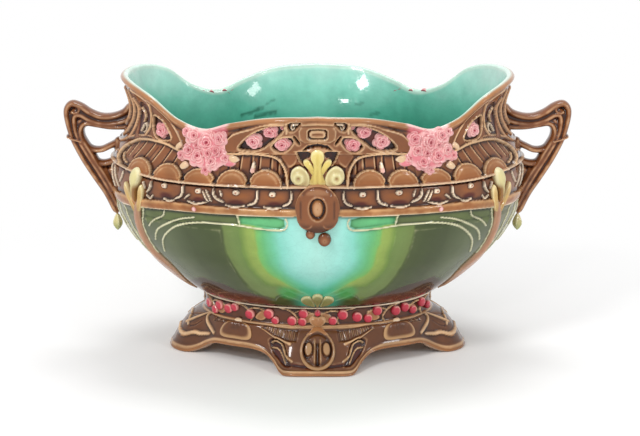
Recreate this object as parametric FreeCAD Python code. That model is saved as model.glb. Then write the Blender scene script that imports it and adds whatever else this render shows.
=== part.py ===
import FreeCAD, Part
import math
import os
from FreeCAD import Vector

# Oval glazed jardiniere that lifts off a low four-footed stand. Millimetres, +Z up, the origin on the
# floor under the middle of the stand, +X along the handles and -Y the front. The back repeats the front.

# ---- driving dimensions -------------------------------------------------------------------------
overall_width = 476.0            # across the two handles
rim_front_z = 253.0              # rim at the middle of the front and of the back
rim_dip_z = 233.0                # rim at its four dips
rim_end_z = 269.0                # rim at the two ends
dip_x = 100.0                    # the dips stand this far from the middle
dip_spread = 34.0                # how wide the wall is drawn in at a dip
wall = 8.0
floor_thick = 9.0
lift_gap = 0.6                   # daylight between the body and the top of the collar
foot_play = 1.5                  # bowl foot inside the collar

stand_half_width = 143.0
stand_half_depth = 92.0
plinth_top_z = 39.0
collar_half_width = 109.0
collar_half_depth = 66.0
collar_height = 20.4
collar_thick = 7.5
berry_count = 26                 # places round the collar, two of them taken by the hearts
skirt_gap = 16.0                 # the skirt clears the floor by this much between the feet
stand_wall = 9.0

handle_reach = 45.5              # how far each handle stands out past the body's widest line
handle_seat = 27.5               # its sizes along X are measured from this far inside that line
handle_thick = 20.0
ledge_z = 185.0                  # underside of the ledge round the shoulder
ledge_height = 4.5
ledge_proud = 3.0
band_proud = 1.8                 # the moulding under the ledge
frame_width = 3.6                # raised line that frames each shoulder panel
relief = 4.0                     # how far flat ornament stands out of the wall
bold_relief = 7.0                # medallion, roses and corner stems

# ---- sizes that follow --------------------------------------------------------------------------
collar_top_z = plinth_top_z + collar_height
body_z = collar_top_z + lift_gap
ledge_top_z = ledge_z + ledge_height
foot_half_width = collar_half_width - collar_thick - foot_play
foot_half_depth = collar_half_depth - collar_thick - foot_play
above_z = rim_end_z + 8.0        # the wall is lofted past the rim and trimmed to the wave
belly_half_width = overall_width / 2 - handle_reach     # body at its widest, under the ledge
handle_root = belly_half_width - handle_seat
handle_spread = (handle_reach + handle_seat) / 73
low_half_width = collar_half_width + 2

# Stations up the outside of the body. Each of the belly is a share of the way up to the ledge and of
# the way out to its widest, and keeps one shape of oval. Each of the neck is a share of the way up to
# the top of the loft, then changes to the belly's half width and half depth, and how far the dips are
# drawn in.
oval_ratio = 0.64
belly_half_depth = oval_ratio * belly_half_width
belly_rise = ledge_z - body_z
belly_swell = belly_half_width - low_half_width
belly = [(body_z + belly_rise * up, low_half_width + belly_swell * out)
         for up, out in ((0, 0), (0.112, 0.239), (0.248, 0.485), (0.416, 0.742), (0.592, 0.908),
                         (0.768, 0.980), (0.984, 1))]
# a plain moulding stands out of the wall under the ledge
belly[-1:-1] = [(body_z + belly_rise * up, belly_half_width + band_proud * share)
                for up, share in ((0.788, 0.8), (0.846, 0.9), (0.862, -0.3))]
belly += [(z, belly_half_width + ledge_proud) for z in (ledge_z, ledge_top_z)]
neck = [(ledge_top_z + (above_z - ledge_top_z) * up, belly_half_width + wide, belly_half_depth + deep, pinch)
        for up, wide, deep, pinch in ((0.034, -2.5, 1.8, 0.0), (0.314, -12.5, 2.8, 0.05),
                                      (0.543, -17, 9.8, 0.14), (1, -8.5, 34.8, 0.22))]
body_stations = [(z, a, oval_ratio * a, 0.0) for z, a in belly] + neck
inside_ratio = 0.62
inside_stations = [(body_z + belly_rise * up, low_half_width + belly_swell * out - wall)
                   for up, out in ((0.072, 0.086), (0.232, 0.454), (0.416, 0.742), (0.64, 0.933), (1, 0.957))]
inside_stations = [(z, a, inside_ratio * a, 0.0) for z, a in inside_stations]
inside_stations += [(z, a - wall, b - wall, p) for z, a, b, p in (neck[1], neck[3])]

corner_angle = math.radians(28)  # the corner stems climb the oval at this angle from its ends
SIDES = 48                       # flats in one oval, within half a millimetre of the round
STAND_SIDES = 32


def oval_point(angle, z, half_width, half_depth, pinch=0.0):
    x = half_width * math.cos(angle)
    drawn_in = pinch * math.exp(-((abs(x) - dip_x) / dip_spread) ** 2)
    return Vector(x, half_depth * math.sin(angle) * (1 - drawn_in), z)


def oval_ring(z, half_width, half_depth, pinch=0.0, grow=0.0, sides=SIDES):
    """Corners of a many-sided oval; grow moves it outwards all round."""
    return [oval_point(2 * math.pi * i / sides, z, half_width + grow, half_depth + grow, pinch)
            for i in range(sides)]


def polygon(points):
    return Part.Face(Part.makePolygon(list(points) + [points[0]]))


def is_flat(quad):
    across = (quad[1] - quad[0]).cross(quad[2] - quad[0])
    return abs(across.normalize().dot(quad[3] - quad[0])) < 1e-6


def faceted(rings):
    """Flat-faced solid through rings of as many points each; a twisted side is two triangles."""
    faces = [polygon(rings[0]), polygon(rings[-1])]
    count = len(rings[0])
    for low, high in zip(rings, rings[1:]):
        for i in range(count):
            j = (i + 1) % count
            quad = [low[i], low[j], high[j], high[i]]
            if is_flat(quad):
                faces.append(polygon(quad))
                continue
            if int((i + 0.5) * 4 / count) % 2:        # each quarter mirrors its neighbours
                quad = quad[1:] + quad[:1]
            faces.append(polygon(quad[:3]))
            faces.append(polygon([quad[0], quad[2], quad[3]]))
    solid = Part.Solid(Part.Shell(faces))
    return solid if solid.Volume > 0 else solid.reversed()


def oval_slab(z, height, half_width, half_depth):
    return polygon(oval_ring(z, half_width, half_depth)).extrude(Vector(0, 0, height))


def oval_loft(stations, grow=0.0, sides=SIDES):
    return faceted([oval_ring(*s, grow=grow, sides=sides) for s in stations])


def station_at(z):
    """Half width, half depth and pinch of the body's outside at height z."""
    for low, high in zip(body_stations, body_stations[1:]):
        if low[0] <= z <= high[0]:
            part = (z - low[0]) / (high[0] - low[0])
            return [p + (q - p) * part for p, q in zip(low[1:], high[1:])]
    raise ValueError("no wall at this height")


def wall_point(angle, z):
    return oval_point(angle, z, *station_at(z))


def wall_normal(angle, z):
    """Level direction straight out of the wall."""
    half_width, half_depth, _ = station_at(z)
    out = Vector(math.cos(angle) / half_width, math.sin(angle) / half_depth, 0)
    return out.normalize()


def front_angle(x, z):
    """Where on the oval the front of the wall passes this x."""
    return -math.acos(x / station_at(z)[0])


def xz_face(points, y=-200.0):
    return polygon([Vector(x, y, z) for x, z in points])


def across(shape):
    return shape.mirror(Vector(), Vector(1, 0, 0))


def both_sides(shape):
    """A front piece and the same piece on the back, as one group."""
    return Part.makeCompound([shape, shape.mirror(Vector(), Vector(0, 1, 0))])


def at_corners(shape):
    """A left front piece and its three mirror images, as one group."""
    return Part.makeCompound([both_sides(shape), both_sides(across(shape))])


def arcs_through(points, closed=False):
    """Arcs through each three points in turn; a closed run ends on its first point."""
    points = list(points) + [points[0]] if closed else list(points)
    return [Part.Arc(*points[i:i + 3]).toShape() for i in range(0, len(points) - 2, 2)]


def button(centre, out, radius, height, sides, crown=0.55):
    """A low faceted boss: a regular polygon, upright and then drawn in to its flat top."""
    out = Vector(out).normalize()
    side = out.cross(Vector(0, 0, 1)).normalize()
    up = side.cross(out)
    turns = [2 * math.pi * i / sides for i in range(sides)]
    rings = []
    for along, size in ((-height, radius), (height * 0.35, radius), (height, radius * crown)):
        middle = centre + out * along
        rings.append([middle + side * (size * math.cos(a)) + up * (size * math.sin(a)) for a in turns])
    return faceted(rings)


# ---- the jardiniere -----------------------------------------------------------------------------
core = oval_loft(body_stations)
low_core = oval_loft(body_stations, grow=relief - 1)
near_core = oval_loft(body_stations, grow=relief)
bold_core = oval_loft(body_stations, grow=bold_relief)


def rim_trim():
    """Everything above the wave of the rim, seen from the front."""
    half = [(0, rim_front_z), (50, rim_front_z - 4), (77, rim_front_z - 12), (dip_x, rim_dip_z),
            (124, rim_dip_z + 7), (150, rim_end_z - 10), (172, rim_end_z - 2), (205, rim_end_z)]
    wave = [(-x, z) for x, z in reversed(half[1:])] + half
    reach = overall_width
    spline = Part.BSplineCurve()
    spline.interpolate([Vector(x, -reach, z) for x, z in wave])
    edge = spline.toShape()
    left, right = edge.Vertexes[0].Point, edge.Vertexes[-1].Point
    high = above_z + 20
    sides = Part.makePolygon([right, Vector(right.x, -reach, high), Vector(left.x, -reach, high), left])
    outline = Part.Wire(Part.__sortEdges__([edge] + sides.Edges))
    return Part.Face(outline).extrude(Vector(0, 2 * reach, 0))


above_rim = rim_trim()


def bowl():
    """Shell with a wavy rim, pinched dips and a ledge, on a recessed oval foot."""
    shell = core.cut(oval_loft(inside_stations)).cut(above_rim)
    foot = oval_slab(plinth_top_z, body_z - plinth_top_z, foot_half_width, foot_half_depth)
    recess = oval_slab(plinth_top_z, body_z - plinth_top_z, foot_half_width - wall, foot_half_depth - wall)
    return shell.fuse(foot.cut(recess)).removeSplitter()


def seat(prism, cover):
    """What a prism leaves between the wall and the cover over it, below the rim."""
    return prism.common(cover).cut(core)


def handle_line(points):
    """Points of the left handle, given as distances out from its root and heights."""
    return [Vector(-(handle_root + out * handle_spread), -handle_thick / 2, z) for out, z in points]


def handle():
    """Left handle: upper arm, middle bar and strut round a finger gap and a small eye."""
    back_y = handle_thick / 2
    outline = [(12, 240), (18, 232.5), (27, 229), (38, 229), (49, 233.5), (57, 239), (65, 242),
               (72, 238), (73, 229), (70.4, 214), (68.5, 205), (59.5, 184), (48, 165), (37, 150), (28, 130)]
    gap = [(52, 215), (42, 214.5), (27, 212.5), (15, 212), (7, 208), (17, 205),
           (27, 203.5), (36, 197.5), (47, 198.5), (53.5, 206)]
    eye = [(44, 190), (37, 191.5), (30, 190.5), (28.5, 188), (30, 185.5), (39, 185)]
    points = handle_line(outline)
    inner = Part.makePolygon([points[-1]] + handle_line([(18, 121.5), (0, 130), (0, 240)]) + [points[0]])
    plate = Part.Face(Part.Wire(Part.__sortEdges__(arcs_through(points) + inner.Edges)))
    plate = plate.extrude(Vector(0, handle_thick, 0))
    for hole in (gap, eye):
        through = Part.Wire(arcs_through(handle_line(hole), closed=True))
        plate = plate.cut(Part.Face(through).extrude(Vector(0, handle_thick, 0)))
    # seen from the end, the strap narrows to its tail
    taper = polygon([Vector(-overall_width, y, z) for y, z in
                     ((-7, 115), (7, 115), (back_y, 190), (back_y, 215), (8, 245), (-8, 245),
                      (-back_y, 215), (-back_y, 190))])
    return plate.common(taper.extrude(Vector(overall_width, 0, 0))).cut(core)


left_handle = handle()


def handle_bud():
    """Drop-shaped bud under the tail of the left handle."""
    top = handle_line([(25.5, 130)])[0]
    top.y = 0
    rings = [(0, 2.2), (7, 4.6), (10, 4.0), (15, 0.8)]
    turns = [2 * math.pi * i / 6 for i in range(6)]
    loops = [[top + Vector(r * math.cos(a), r * math.sin(a), -down) for a in turns] for down, r in rings]
    return faceted(loops).cut(left_handle).cut(core)


def rose_cluster():
    """Five roses heaped over the left front dip, on a bed of leaves."""
    roses = [(-99, 224, 12), (-115, 213, 10), (-89, 210, 9), (-103, 199, 8), (-119, 230, 8)]
    heap = None
    for x, z, radius in roses:
        angle = front_angle(x, z)
        out = wall_normal(angle, z)
        rose = button(wall_point(angle, z), out, radius, bold_relief, 6)
        heart = button(wall_point(angle, z), out, radius * 0.5, bold_relief + 2.5, 5)
        rose = rose.fuse(heart)
        heap = rose if heap is None else heap.fuse(rose)
    return heap.cut(core).cut(above_rim)


plaque_z = 236.5
plaque_half = Vector(20, 0, 11.5)


def plaque_face(scale=1.0):
    """Octagonal plaque in the middle of the cartouche."""
    w, h, nip = plaque_half.x * scale, plaque_half.z * scale, 6 * scale
    return xz_face([(-w, plaque_z - h + nip), (-w, plaque_z + h - nip), (nip - w, plaque_z + h),
                    (w - nip, plaque_z + h), (w, plaque_z + h - nip), (w, plaque_z - h + nip),
                    (w - nip, plaque_z - h), (nip - w, plaque_z - h)])


rosette_places = [(-55, 228, 6.5), (-41, 236.5, 6.5), (-30.5, 225, 6.5)]
arch_width = 6.0


def cartouche():
    """Arched frame under the middle of the rim, with an octagonal plaque and its tablet."""
    through = Vector(0, 150, 0)
    left, right = Vector(-74, -200, 222), Vector(74, -200, 222)
    crown = Vector(0, -200, rim_front_z - 2)
    drop = Vector(0, 0, arch_width)
    bow = Part.Arc(left, crown, right).toShape()
    under = Part.Arc(left - drop, crown - drop, right - drop).toShape()
    ends = [Part.makeLine(left, left - drop), Part.makeLine(right, right - drop)]
    frame = Part.Face(Part.Wire(Part.__sortEdges__([bow, under] + ends))).extrude(through)
    plaque = plaque_face().extrude(through)
    body = seat(frame.fuse(plaque), near_core)
    tablet = Part.makeBox(15, 150, 11, Vector(-7.5, -200, plaque_z - 5.5))
    return body.fuse(seat(tablet, bold_core)).cut(above_rim).removeSplitter()


front_cartouche = cartouche()


def cartouche_rosettes():
    """Three small roses in each recess beside the plaque."""
    roses = []
    for x, z, radius in rosette_places:
        for way in (1, -1):
            angle = front_angle(x * way, z)
            rose = button(wall_point(angle, z), wall_normal(angle, z), radius, relief - 0.5, 6)
            roses.append(rose.cut(core).cut(front_cartouche))
    return Part.makeCompound(roses)


def shoulder_frame():
    """Raised line from the roses along the top of a shoulder panel and down its rounded end."""
    middle = [(-76, 213.6), (-57, 214.8), (-47.6, 214.6), (-39, 213.2), (-32, 208), (-27.8, 201),
              (-26.2, 195), (-26.2, ledge_top_z + 1)]
    half = frame_width / 2
    over = [(x + half * lean, z + half * rise) for (x, z), lean, rise in
            zip(middle, (0, 0, 0.2, 0.5, 0.8, 1, 1, 1), (1, 1, 1, 0.9, 0.6, 0.2, 0, 0))]
    under = [(2 * x - a, 2 * z - b) for (x, z), (a, b) in zip(middle, over)]
    return seat(xz_face(over + under[::-1]).extrude(Vector(0, 150, 0)), low_core)


palmette_low_z = 192.6
palmette_top_z = 223.0


def palmette():
    """Yellow leaf between the medallion and the plaque: a crown lobe and two side lobes."""
    half = [(0, palmette_low_z), (6, palmette_low_z), (15, 194), (18, 199), (14, 203), (9, 201),
            (13, 206), (11.5, 212), (7.5, 213.5), (7, 219), (3.5, palmette_top_z), (0, palmette_top_z)]
    outline = half + [(-x, z) for x, z in reversed(half[1:-1])]
    return seat(xz_face(outline).extrude(Vector(0, 150, 0)), near_core)


medallion_z = 169.5
medallion_size = (21.5, 22.5)    # half width and half height


def medallion_face(grow=0.0):
    """Shield with a domed head and a scalloped foot."""
    w, h = medallion_size[0] + grow, medallion_size[1] + grow
    z = medallion_z
    points = [(-w, z - h * 0.45), (-w, z + h * 0.35), (-w * 0.72, z + h * 0.8), (-w * 0.3, z + h),
              (w * 0.3, z + h), (w * 0.72, z + h * 0.8), (w, z + h * 0.35), (w, z - h * 0.45),
              (w * 0.66, z - h * 0.62), (w * 0.5, z - h * 0.9), (w * 0.16, z - h * 0.8), (0, z - h),
              (-w * 0.16, z - h * 0.8), (-w * 0.5, z - h * 0.9), (-w * 0.66, z - h * 0.62)]
    return xz_face(points)


cabochon_size = (8.5, 11.0)


def cabochon_cutter():
    wide, high = cabochon_size
    turns = [math.pi * (i + 0.5) / 6 for i in range(12)]
    oval_points = [(wide * math.cos(a), medallion_z + high * math.sin(a)) for a in turns]
    return xz_face(oval_points).extrude(Vector(0, 150, 0))


def medallion():
    """The shield over the ledge, with an oval seat for its cabochon."""
    shield = medallion_face().extrude(Vector(0, 150, 0))
    return seat(shield, bold_core).cut(cabochon_cutter())


over_shield = [s for s in body_stations if abs(s[0] - medallion_z) < 3 * cabochon_size[1]]
around_shield = oval_loft(over_shield, grow=bold_relief + 2)


def cabochon():
    """Oval boss set in the shield, standing a little proud of it."""
    return seat(cabochon_cutter(), around_shield)


def medallion_berries():
    """One large and one small berry hung under the shield."""
    berries = []
    for x, z, radius in ((7.0, 139.0, 6.0), (-6.5, 142.0, 4.0)):
        angle = front_angle(x, z)
        berries.append(button(wall_point(angle, z), wall_normal(angle, z), radius, radius, 8, 0.5))
    both = berries[0].fuse(berries[1]).cut(core)
    return both.cut(medallion_face().extrude(Vector(0, 150, 0)))


def corner_stem():
    """Calyx head on the shoulder, tapering to a rib that runs down the left front corner."""
    rib = [(ledge_z, 7), (174, 7.5), (166, 5), (152, 7.5), (134, 5), (74, 3.5)]    # height, half width
    angle = math.pi + corner_angle
    out = wall_normal(angle, ledge_z)
    side = out.cross(Vector(0, 0, 1)).normalize()
    start = wall_point(angle, ledge_z) + out * 30
    sides = {-1: [], 1: []}
    for z, half in rib:
        middle = wall_point(angle, z)
        level = middle + out * (start - middle).dot(out)
        for way in sides:
            sides[way].append(level + side * (half * way))
    return seat(polygon(sides[1] + sides[-1][::-1]).extrude(out * -150), bold_core)


def scallops():
    """Half-round shells standing on the ledge along the front."""
    low = ledge_top_z + 3.0
    over_ledge = Part.makeBox(600, 300, 40, Vector(-300, -300, low))
    shells = []
    for x, radius in ((45, 14), (75, 14), (133, 13), (157, 12)):
        for way in (1, -1):
            angle = front_angle(x * way, low)
            disc = button(wall_point(angle, low), wall_normal(angle, low), radius, relief, 12, 0.8)
            shells.append(disc.common(over_ledge).cut(core))
    return Part.makeCompound(shells)


def trefoil():
    """Three-lobed leaf on the body just over the collar."""
    leaf = None
    for x, z in ((0, 70), (-13, 67.5), (13, 67.5)):
        angle = front_angle(x, z)
        out = wall_normal(angle, z) - Vector(0, 0, 0.9)
        lobe = button(wall_point(angle, z), out, 6.6, relief, 8, 0.6)
        leaf = lobe if leaf is None else leaf.fuse(lobe)
    above_collar = Part.makeBox(80, 200, 60, Vector(-40, -200, body_z))
    return leaf.cut(core).common(above_collar)


# ---- the stand ----------------------------------------------------------------------------------
stand_stations = [
    (0, stand_half_width - 2, stand_half_depth - 1, 0.0),
    (8, stand_half_width, stand_half_depth, 0.0),
    (24, stand_half_width - 4, stand_half_depth - 13, 0.0),
    (33, stand_half_width - 15, stand_half_depth - 21.5, 0.0),
    (plinth_top_z, collar_half_width, collar_half_depth, 0.0),
]


slope = oval_loft(stand_stations, sides=STAND_SIDES)


def stand_plan():
    """Outline of the stand from above: two round end feet and two square front and back feet."""
    nose, junction, shoulder = (133, 22), (97, 42), (57, 63)
    toe = (34, stand_half_depth + 10)
    quarter = [((nose[0], nose[1]), (114, 28.5), junction), (junction, (78, 55), shoulder),
               (shoulder, (43, 75), toe)]
    edges = []
    for x_way in (1, -1):
        edges.append(Part.Arc(Vector(nose[0] * x_way, -nose[1], 0), Vector(stand_half_width * x_way, 0, 0),
                              Vector(nose[0] * x_way, nose[1], 0)).toShape())
        edges.append(Part.makeLine(Vector(-toe[0], toe[1] * x_way, 0), Vector(toe[0], toe[1] * x_way, 0)))
        for y_way in (1, -1):
            for three in quarter:
                edges.append(Part.Arc(*[Vector(x * x_way, y * y_way, 0) for x, y in three]).toShape())
    return Part.Wire(Part.__sortEdges__(edges))


def stand():
    """Hollow plinth on four feet, with its skirt raised between them."""
    plan = stand_plan()
    solid = Part.Face(plan).extrude(Vector(0, 0, plinth_top_z)).common(slope)
    inner_plan = Part.Face(plan.makeOffset2D(-stand_wall))
    under = [(0, *stand_stations[1][1:]), (plinth_top_z - stand_wall, *stand_stations[-1][1:])]
    hollow = inner_plan.extrude(Vector(0, 0, plinth_top_z)).common(oval_loft(under, -stand_wall, STAND_SIDES // 2))
    shell = solid.cut(hollow)
    for x_way in (1, -1):
        for y_way in (1, -1):
            arch = polygon([Vector(x * x_way, y * y_way, 0) for x, y in
                            ((40, 40), (104, 30), (120, 45), (80, 120), (40, 120))])
            shell = shell.cut(arch.extrude(Vector(0, 0, skirt_gap)))
    return shell.removeSplitter()


def collar():
    """Oval ring on the plinth that keeps the bowl's foot in place."""
    outer = oval_slab(plinth_top_z, collar_height, collar_half_width, collar_half_depth)
    inner = (collar_half_width - collar_thick, collar_half_depth - collar_thick)
    bore = oval_slab(plinth_top_z, collar_height, *inner)
    return outer.cut(bore)


def collar_point(angle, z):
    return oval_point(angle, z, collar_half_width, collar_half_depth)


def collar_out(angle):
    return Vector(math.cos(angle) / collar_half_width, math.sin(angle) / collar_half_depth, 0).normalize()


collar_solid = collar()


def collar_heart():
    """Heart-shaped knob in the middle of the collar."""
    z = plinth_top_z + 2
    points = [(0, z), (6.5, z + 7), (5.5, z + 11.5), (2.5, z + 12.5), (0, z + 10.5),
              (-2.5, z + 12.5), (-5.5, z + 11.5), (-6.5, z + 7)]
    depth = collar_half_depth + 6
    knob = xz_face(points, -depth).extrude(Vector(0, depth, 0))
    return knob.cut(oval_slab(plinth_top_z, collar_height, collar_half_width, collar_half_depth))


collar_hearts = both_sides(collar_heart())


def collar_berries():
    """Pairs of berries round the collar, high and low in turn."""
    berries = []
    for i in range(berry_count):
        angle = math.pi * 2 * (i + 0.5) / berry_count
        z = plinth_top_z + collar_height * (0.62 if i % 2 else 0.4)
        if abs(collar_point(angle, z).x) < 8:
            continue                                  # a heart stands here
        berry = button(collar_point(angle, z), collar_out(angle), 4.8, 3.0, 6, 0.6)
        berries.append(berry.cut(collar_solid).cut(collar_hearts))
    return Part.makeCompound(berries)


def foot_medallion():
    """Ring with two D-shaped bosses on the slope of the front foot."""
    middle = Vector(0, -79.5, 23.5)
    out = Vector(0, -31, 26).normalize()
    disc = button(middle, out, 19, relief, 14, 0.9)
    ring = disc.cut(button(middle, out, 15, relief * 3, 14, 1.0))
    stem = Part.makeBox(4.5, 60, 26, Vector(-2.25, -120, 10)).common(disc)
    bosses = button(middle, out, 11, relief, 12, 0.8).cut(Part.makeBox(9, 60, 60, Vector(-4.5, -120, 0)))
    return ring.fuse(bosses).fuse(stem).cut(slope)


def half_shell():
    """Half-round shell with a knob, under the collar over the raised skirt."""
    centre = Vector(-69, -59.5, plinth_top_z - 2)
    out = Vector(-0.36, -0.93, 0)
    shell = button(centre, out, 12, 4, 12, 0.75).fuse(button(centre - Vector(0, 0, 4), out, 3.5, 7, 6))
    low = Part.makeBox(400, 300, plinth_top_z - skirt_gap, Vector(-200, -300, skirt_gap))
    return shell.common(low).cut(Part.Face(stand_plan()).extrude(Vector(0, 0, plinth_top_z)).common(slope))


# ---- the named pieces ---------------------------------------------------------------------------
bud = handle_bud()
pieces = {
    "bowl": bowl(),
    "handle_left": left_handle, "handle_right": across(left_handle),
    "handle_bud_left": bud, "handle_bud_right": across(bud),
    "roses": at_corners(rose_cluster()),
    "corner_stems": at_corners(corner_stem()),
    "cartouches": both_sides(front_cartouche),
    "cartouche_rosettes": both_sides(cartouche_rosettes()),
    "shoulder_frames": at_corners(shoulder_frame()),
    "palmettes": both_sides(palmette()),
    "medallions": both_sides(medallion()),
    "cabochons": both_sides(cabochon()),
    "medallion_berries": both_sides(medallion_berries()),
    "scallops": both_sides(scallops()),
    "trefoils": both_sides(trefoil()),
    "stand": stand(),
    "collar": collar_solid,
    "collar_berries": collar_berries(),
    "collar_hearts": collar_hearts,
    "foot_medallions": both_sides(foot_medallion()),
    "half_shells": at_corners(half_shell()),
}

os.makedirs("parts", exist_ok=True)
for name, shape in pieces.items():
    shape.exportStep(f"parts/{name}.step")
    state = "valid" if shape.isValid() else "NOT VALID"
    print(name, state, len(shape.Solids), "solids", round(shape.Volume / 1000, 1), "cm3")
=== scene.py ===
import math
import bpy
import numpy as np
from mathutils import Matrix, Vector


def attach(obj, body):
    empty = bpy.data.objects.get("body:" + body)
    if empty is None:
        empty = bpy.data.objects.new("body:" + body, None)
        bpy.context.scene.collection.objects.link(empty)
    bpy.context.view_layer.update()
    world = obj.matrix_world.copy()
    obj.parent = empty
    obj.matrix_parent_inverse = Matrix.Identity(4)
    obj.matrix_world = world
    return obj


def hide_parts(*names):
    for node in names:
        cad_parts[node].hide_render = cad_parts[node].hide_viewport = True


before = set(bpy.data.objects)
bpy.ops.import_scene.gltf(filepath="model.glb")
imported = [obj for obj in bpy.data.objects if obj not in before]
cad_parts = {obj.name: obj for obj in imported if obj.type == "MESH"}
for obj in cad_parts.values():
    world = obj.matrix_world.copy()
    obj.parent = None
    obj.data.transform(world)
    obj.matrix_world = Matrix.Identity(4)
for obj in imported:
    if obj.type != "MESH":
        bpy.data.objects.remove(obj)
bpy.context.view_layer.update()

# Glossy majolica jardiniere on its stand. Sizes below are millimetres, +Z up, the front faces -Y.
# Most of the relief is worked out over the wall in two numbers: s, the way along the oval at the
# ledge from the middle of the front (the left is minus), and z, the height.

MM = 0.001
coarse = 1.0


# ---- colours ------------------------------------------------------------------------------------
def glaze(red, green, blue):
    """A written colour, 0 to 255, as the light it stands for."""
    c = np.array([red, green, blue]) / 255
    return np.where(c <= 0.04045, c / 12.92, ((c + 0.055) / 1.055) ** 2.4)


# each glaze: its body colour, the pale colour where it runs thin over an edge, and where it pools
GLAZE = {
    "brown": (glaze(128, 76, 42), glaze(204, 158, 116), glaze(46, 17, 9)),
    "tan": (glaze(164, 112, 70), glaze(222, 184, 142), glaze(86, 40, 18)),
    "amber": (glaze(146, 86, 40), glaze(206, 158, 106), glaze(74, 28, 12)),
    "red": (glaze(84, 27, 14), glaze(176, 104, 70), glaze(36, 9, 6)),
    "cream": (glaze(218, 184, 146), glaze(242, 224, 198), glaze(136, 80, 50)),
    "pink": (glaze(214, 124, 132), glaze(240, 198, 192), glaze(166, 50, 68)),
    "yellow": (glaze(216, 194, 108), glaze(240, 228, 168), glaze(146, 104, 40)),
    "bulb": (glaze(214, 202, 146), glaze(234, 226, 184), glaze(146, 104, 58)),
    "olive": (glaze(92, 104, 58), glaze(206, 204, 152), glaze(40, 48, 30)),
    "bright": (glaze(98, 180, 118), glaze(214, 222, 172), glaze(16, 74, 34)),
    "pinkbrown": (glaze(176, 128, 98), glaze(220, 184, 148), glaze(112, 62, 40)),
    "leaflet": (glaze(206, 170, 104), glaze(236, 216, 162), glaze(136, 86, 46)),
    "trefoil": (glaze(132, 128, 78), glaze(206, 200, 150), glaze(66, 62, 36)),
    "line": (glaze(196, 194, 148), glaze(226, 222, 186), glaze(110, 110, 70)),
    "stand": (glaze(98, 56, 28), glaze(188, 146, 102), glaze(30, 11, 6)),
    "berry": (glaze(196, 54, 72), glaze(240, 178, 164), glaze(104, 12, 26)),
}


def mix(a, b, w):
    """Colour a taken towards b by w."""
    return a + (b - a) * w[..., None]


def ramp(low, high, x):
    """0 below low, 1 above high and smooth between."""
    t = np.clip((x - low) / (high - low), 0, 1)
    return t * t * (3 - 2 * t)


def along(x, stops, colours):
    """Colour at x on a run of stops."""
    colours = np.array(colours)
    return np.stack([np.interp(x, stops, colours[:, i]) for i in range(3)], -1)


def clouds(u, v, size, seed):
    """Smooth random field, about -1 to 1, with hills of that size."""
    lattice = np.random.default_rng(seed).uniform(-1, 1, (64, 64))
    a, b = u / size + 31.7, v / size + 17.3
    i, j = np.floor(a).astype(int), np.floor(b).astype(int)
    fa, fb = a - i, b - j
    fa, fb = fa * fa * (3 - 2 * fa), fb * fb * (3 - 2 * fb)
    at = lambda p, q: lattice[p % 64, q % 64]
    low = at(i, j) * (1 - fa) + at(i + 1, j) * fa
    high = at(i, j + 1) * (1 - fa) + at(i + 1, j + 1) * fa
    return low * (1 - fb) + high * fb


# ---- the walls ----------------------------------------------------------------------------------
def blend_run(x, xs, ys):
    """Smooth curve through the points (xs, ys)."""
    xs, ys = np.array(xs, float), np.array(ys, float)
    slope = np.gradient(ys, xs)
    x = np.clip(x, xs[0], xs[-1])
    i = np.clip(np.searchsorted(xs, x) - 1, 0, len(xs) - 2)
    w = xs[i + 1] - xs[i]
    t = (x - xs[i]) / w
    return ((2 * t**3 - 3 * t**2 + 1) * ys[i] + (t**3 - 2 * t**2 + t) * w * slope[i]
            + (3 * t**2 - 2 * t**3) * ys[i + 1] + (t**3 - t**2) * w * slope[i + 1])


LEDGE = (195.5, 125.1)                  # half width and half depth of the ledge line
DIP_X, DIP_WIDE = 100, 34               # where the rim is drawn in, and over how wide a stretch
OUTSIDE = {"z": (60, 74, 91, 112, 134, 157, 183, 192.5, 217, 237, 277),
           "a": (111, 130.5, 150.5, 171.5, 185, 191, 192.5, 190, 180, 175.5, 184),
           "b": (71, 83.5, 96.3, 109.8, 118.4, 122.2, 123.6, 125, 126, 133, 158),
           "pinch": (0, 0, 0, 0, 0, 0, 0, 0, 0.05, 0.14, 0.22)}
INSIDE = {"z": (69, 89, 112, 140, 185, 217, 277),
          "a": (110, 140, 163.5, 179, 181, 172, 176),
          "b": (68.2, 86.8, 101.4, 111, 112.2, 118, 150),
          "pinch": (0, 0, 0, 0, 0, 0.05, 0.22)}
RIM = ((0, 50, 77, 100, 124, 150, 172, 205), (253, 249, 241, 233, 240, 259, 267, 269))

turn_table = np.linspace(-math.pi / 2, math.pi / 2, 4001)


def way_round(half_wide, half_deep):
    """How far along an oval each turn of turn_table lies, counted from the middle of the front."""
    steps = np.hypot(np.diff(half_wide * np.sin(turn_table)), np.diff(half_deep * np.cos(turn_table)))
    far = np.concatenate([[0], np.cumsum(steps)])
    return far - far[len(far) // 2]


arc_table = way_round(*LEDGE)
END_S = arc_table[-1]


def turn_at(s):
    """The turn that lies s along the ledge line."""
    return np.interp(s, arc_table, turn_table)


def oval(wall, t, z):
    """The wall at turn t and height z: an oval that is drawn in at the four dips of the rim."""
    a, b, pinch = (blend_run(z, wall["z"], wall[k]) for k in ("a", "b", "pinch"))
    x = a * np.sin(t)
    y = -b * np.cos(t) * (1 - pinch * np.exp(-((np.abs(x) - DIP_X) / DIP_WIDE) ** 2))
    return np.stack([x, y, z + 0 * x], -1)


def off_wall(wall, t, z, h):
    """Point h out from the wall, square to it."""
    d = 0.002
    across = oval(wall, t + d, z) - oval(wall, t - d, z)
    upward = oval(wall, t, z + 0.5) - oval(wall, t, z - 0.5)
    out = np.cross(across, upward)
    out /= np.linalg.norm(out, axis=-1, keepdims=True)
    return oval(wall, t, z) + out * np.asarray(h)[..., None]


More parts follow.
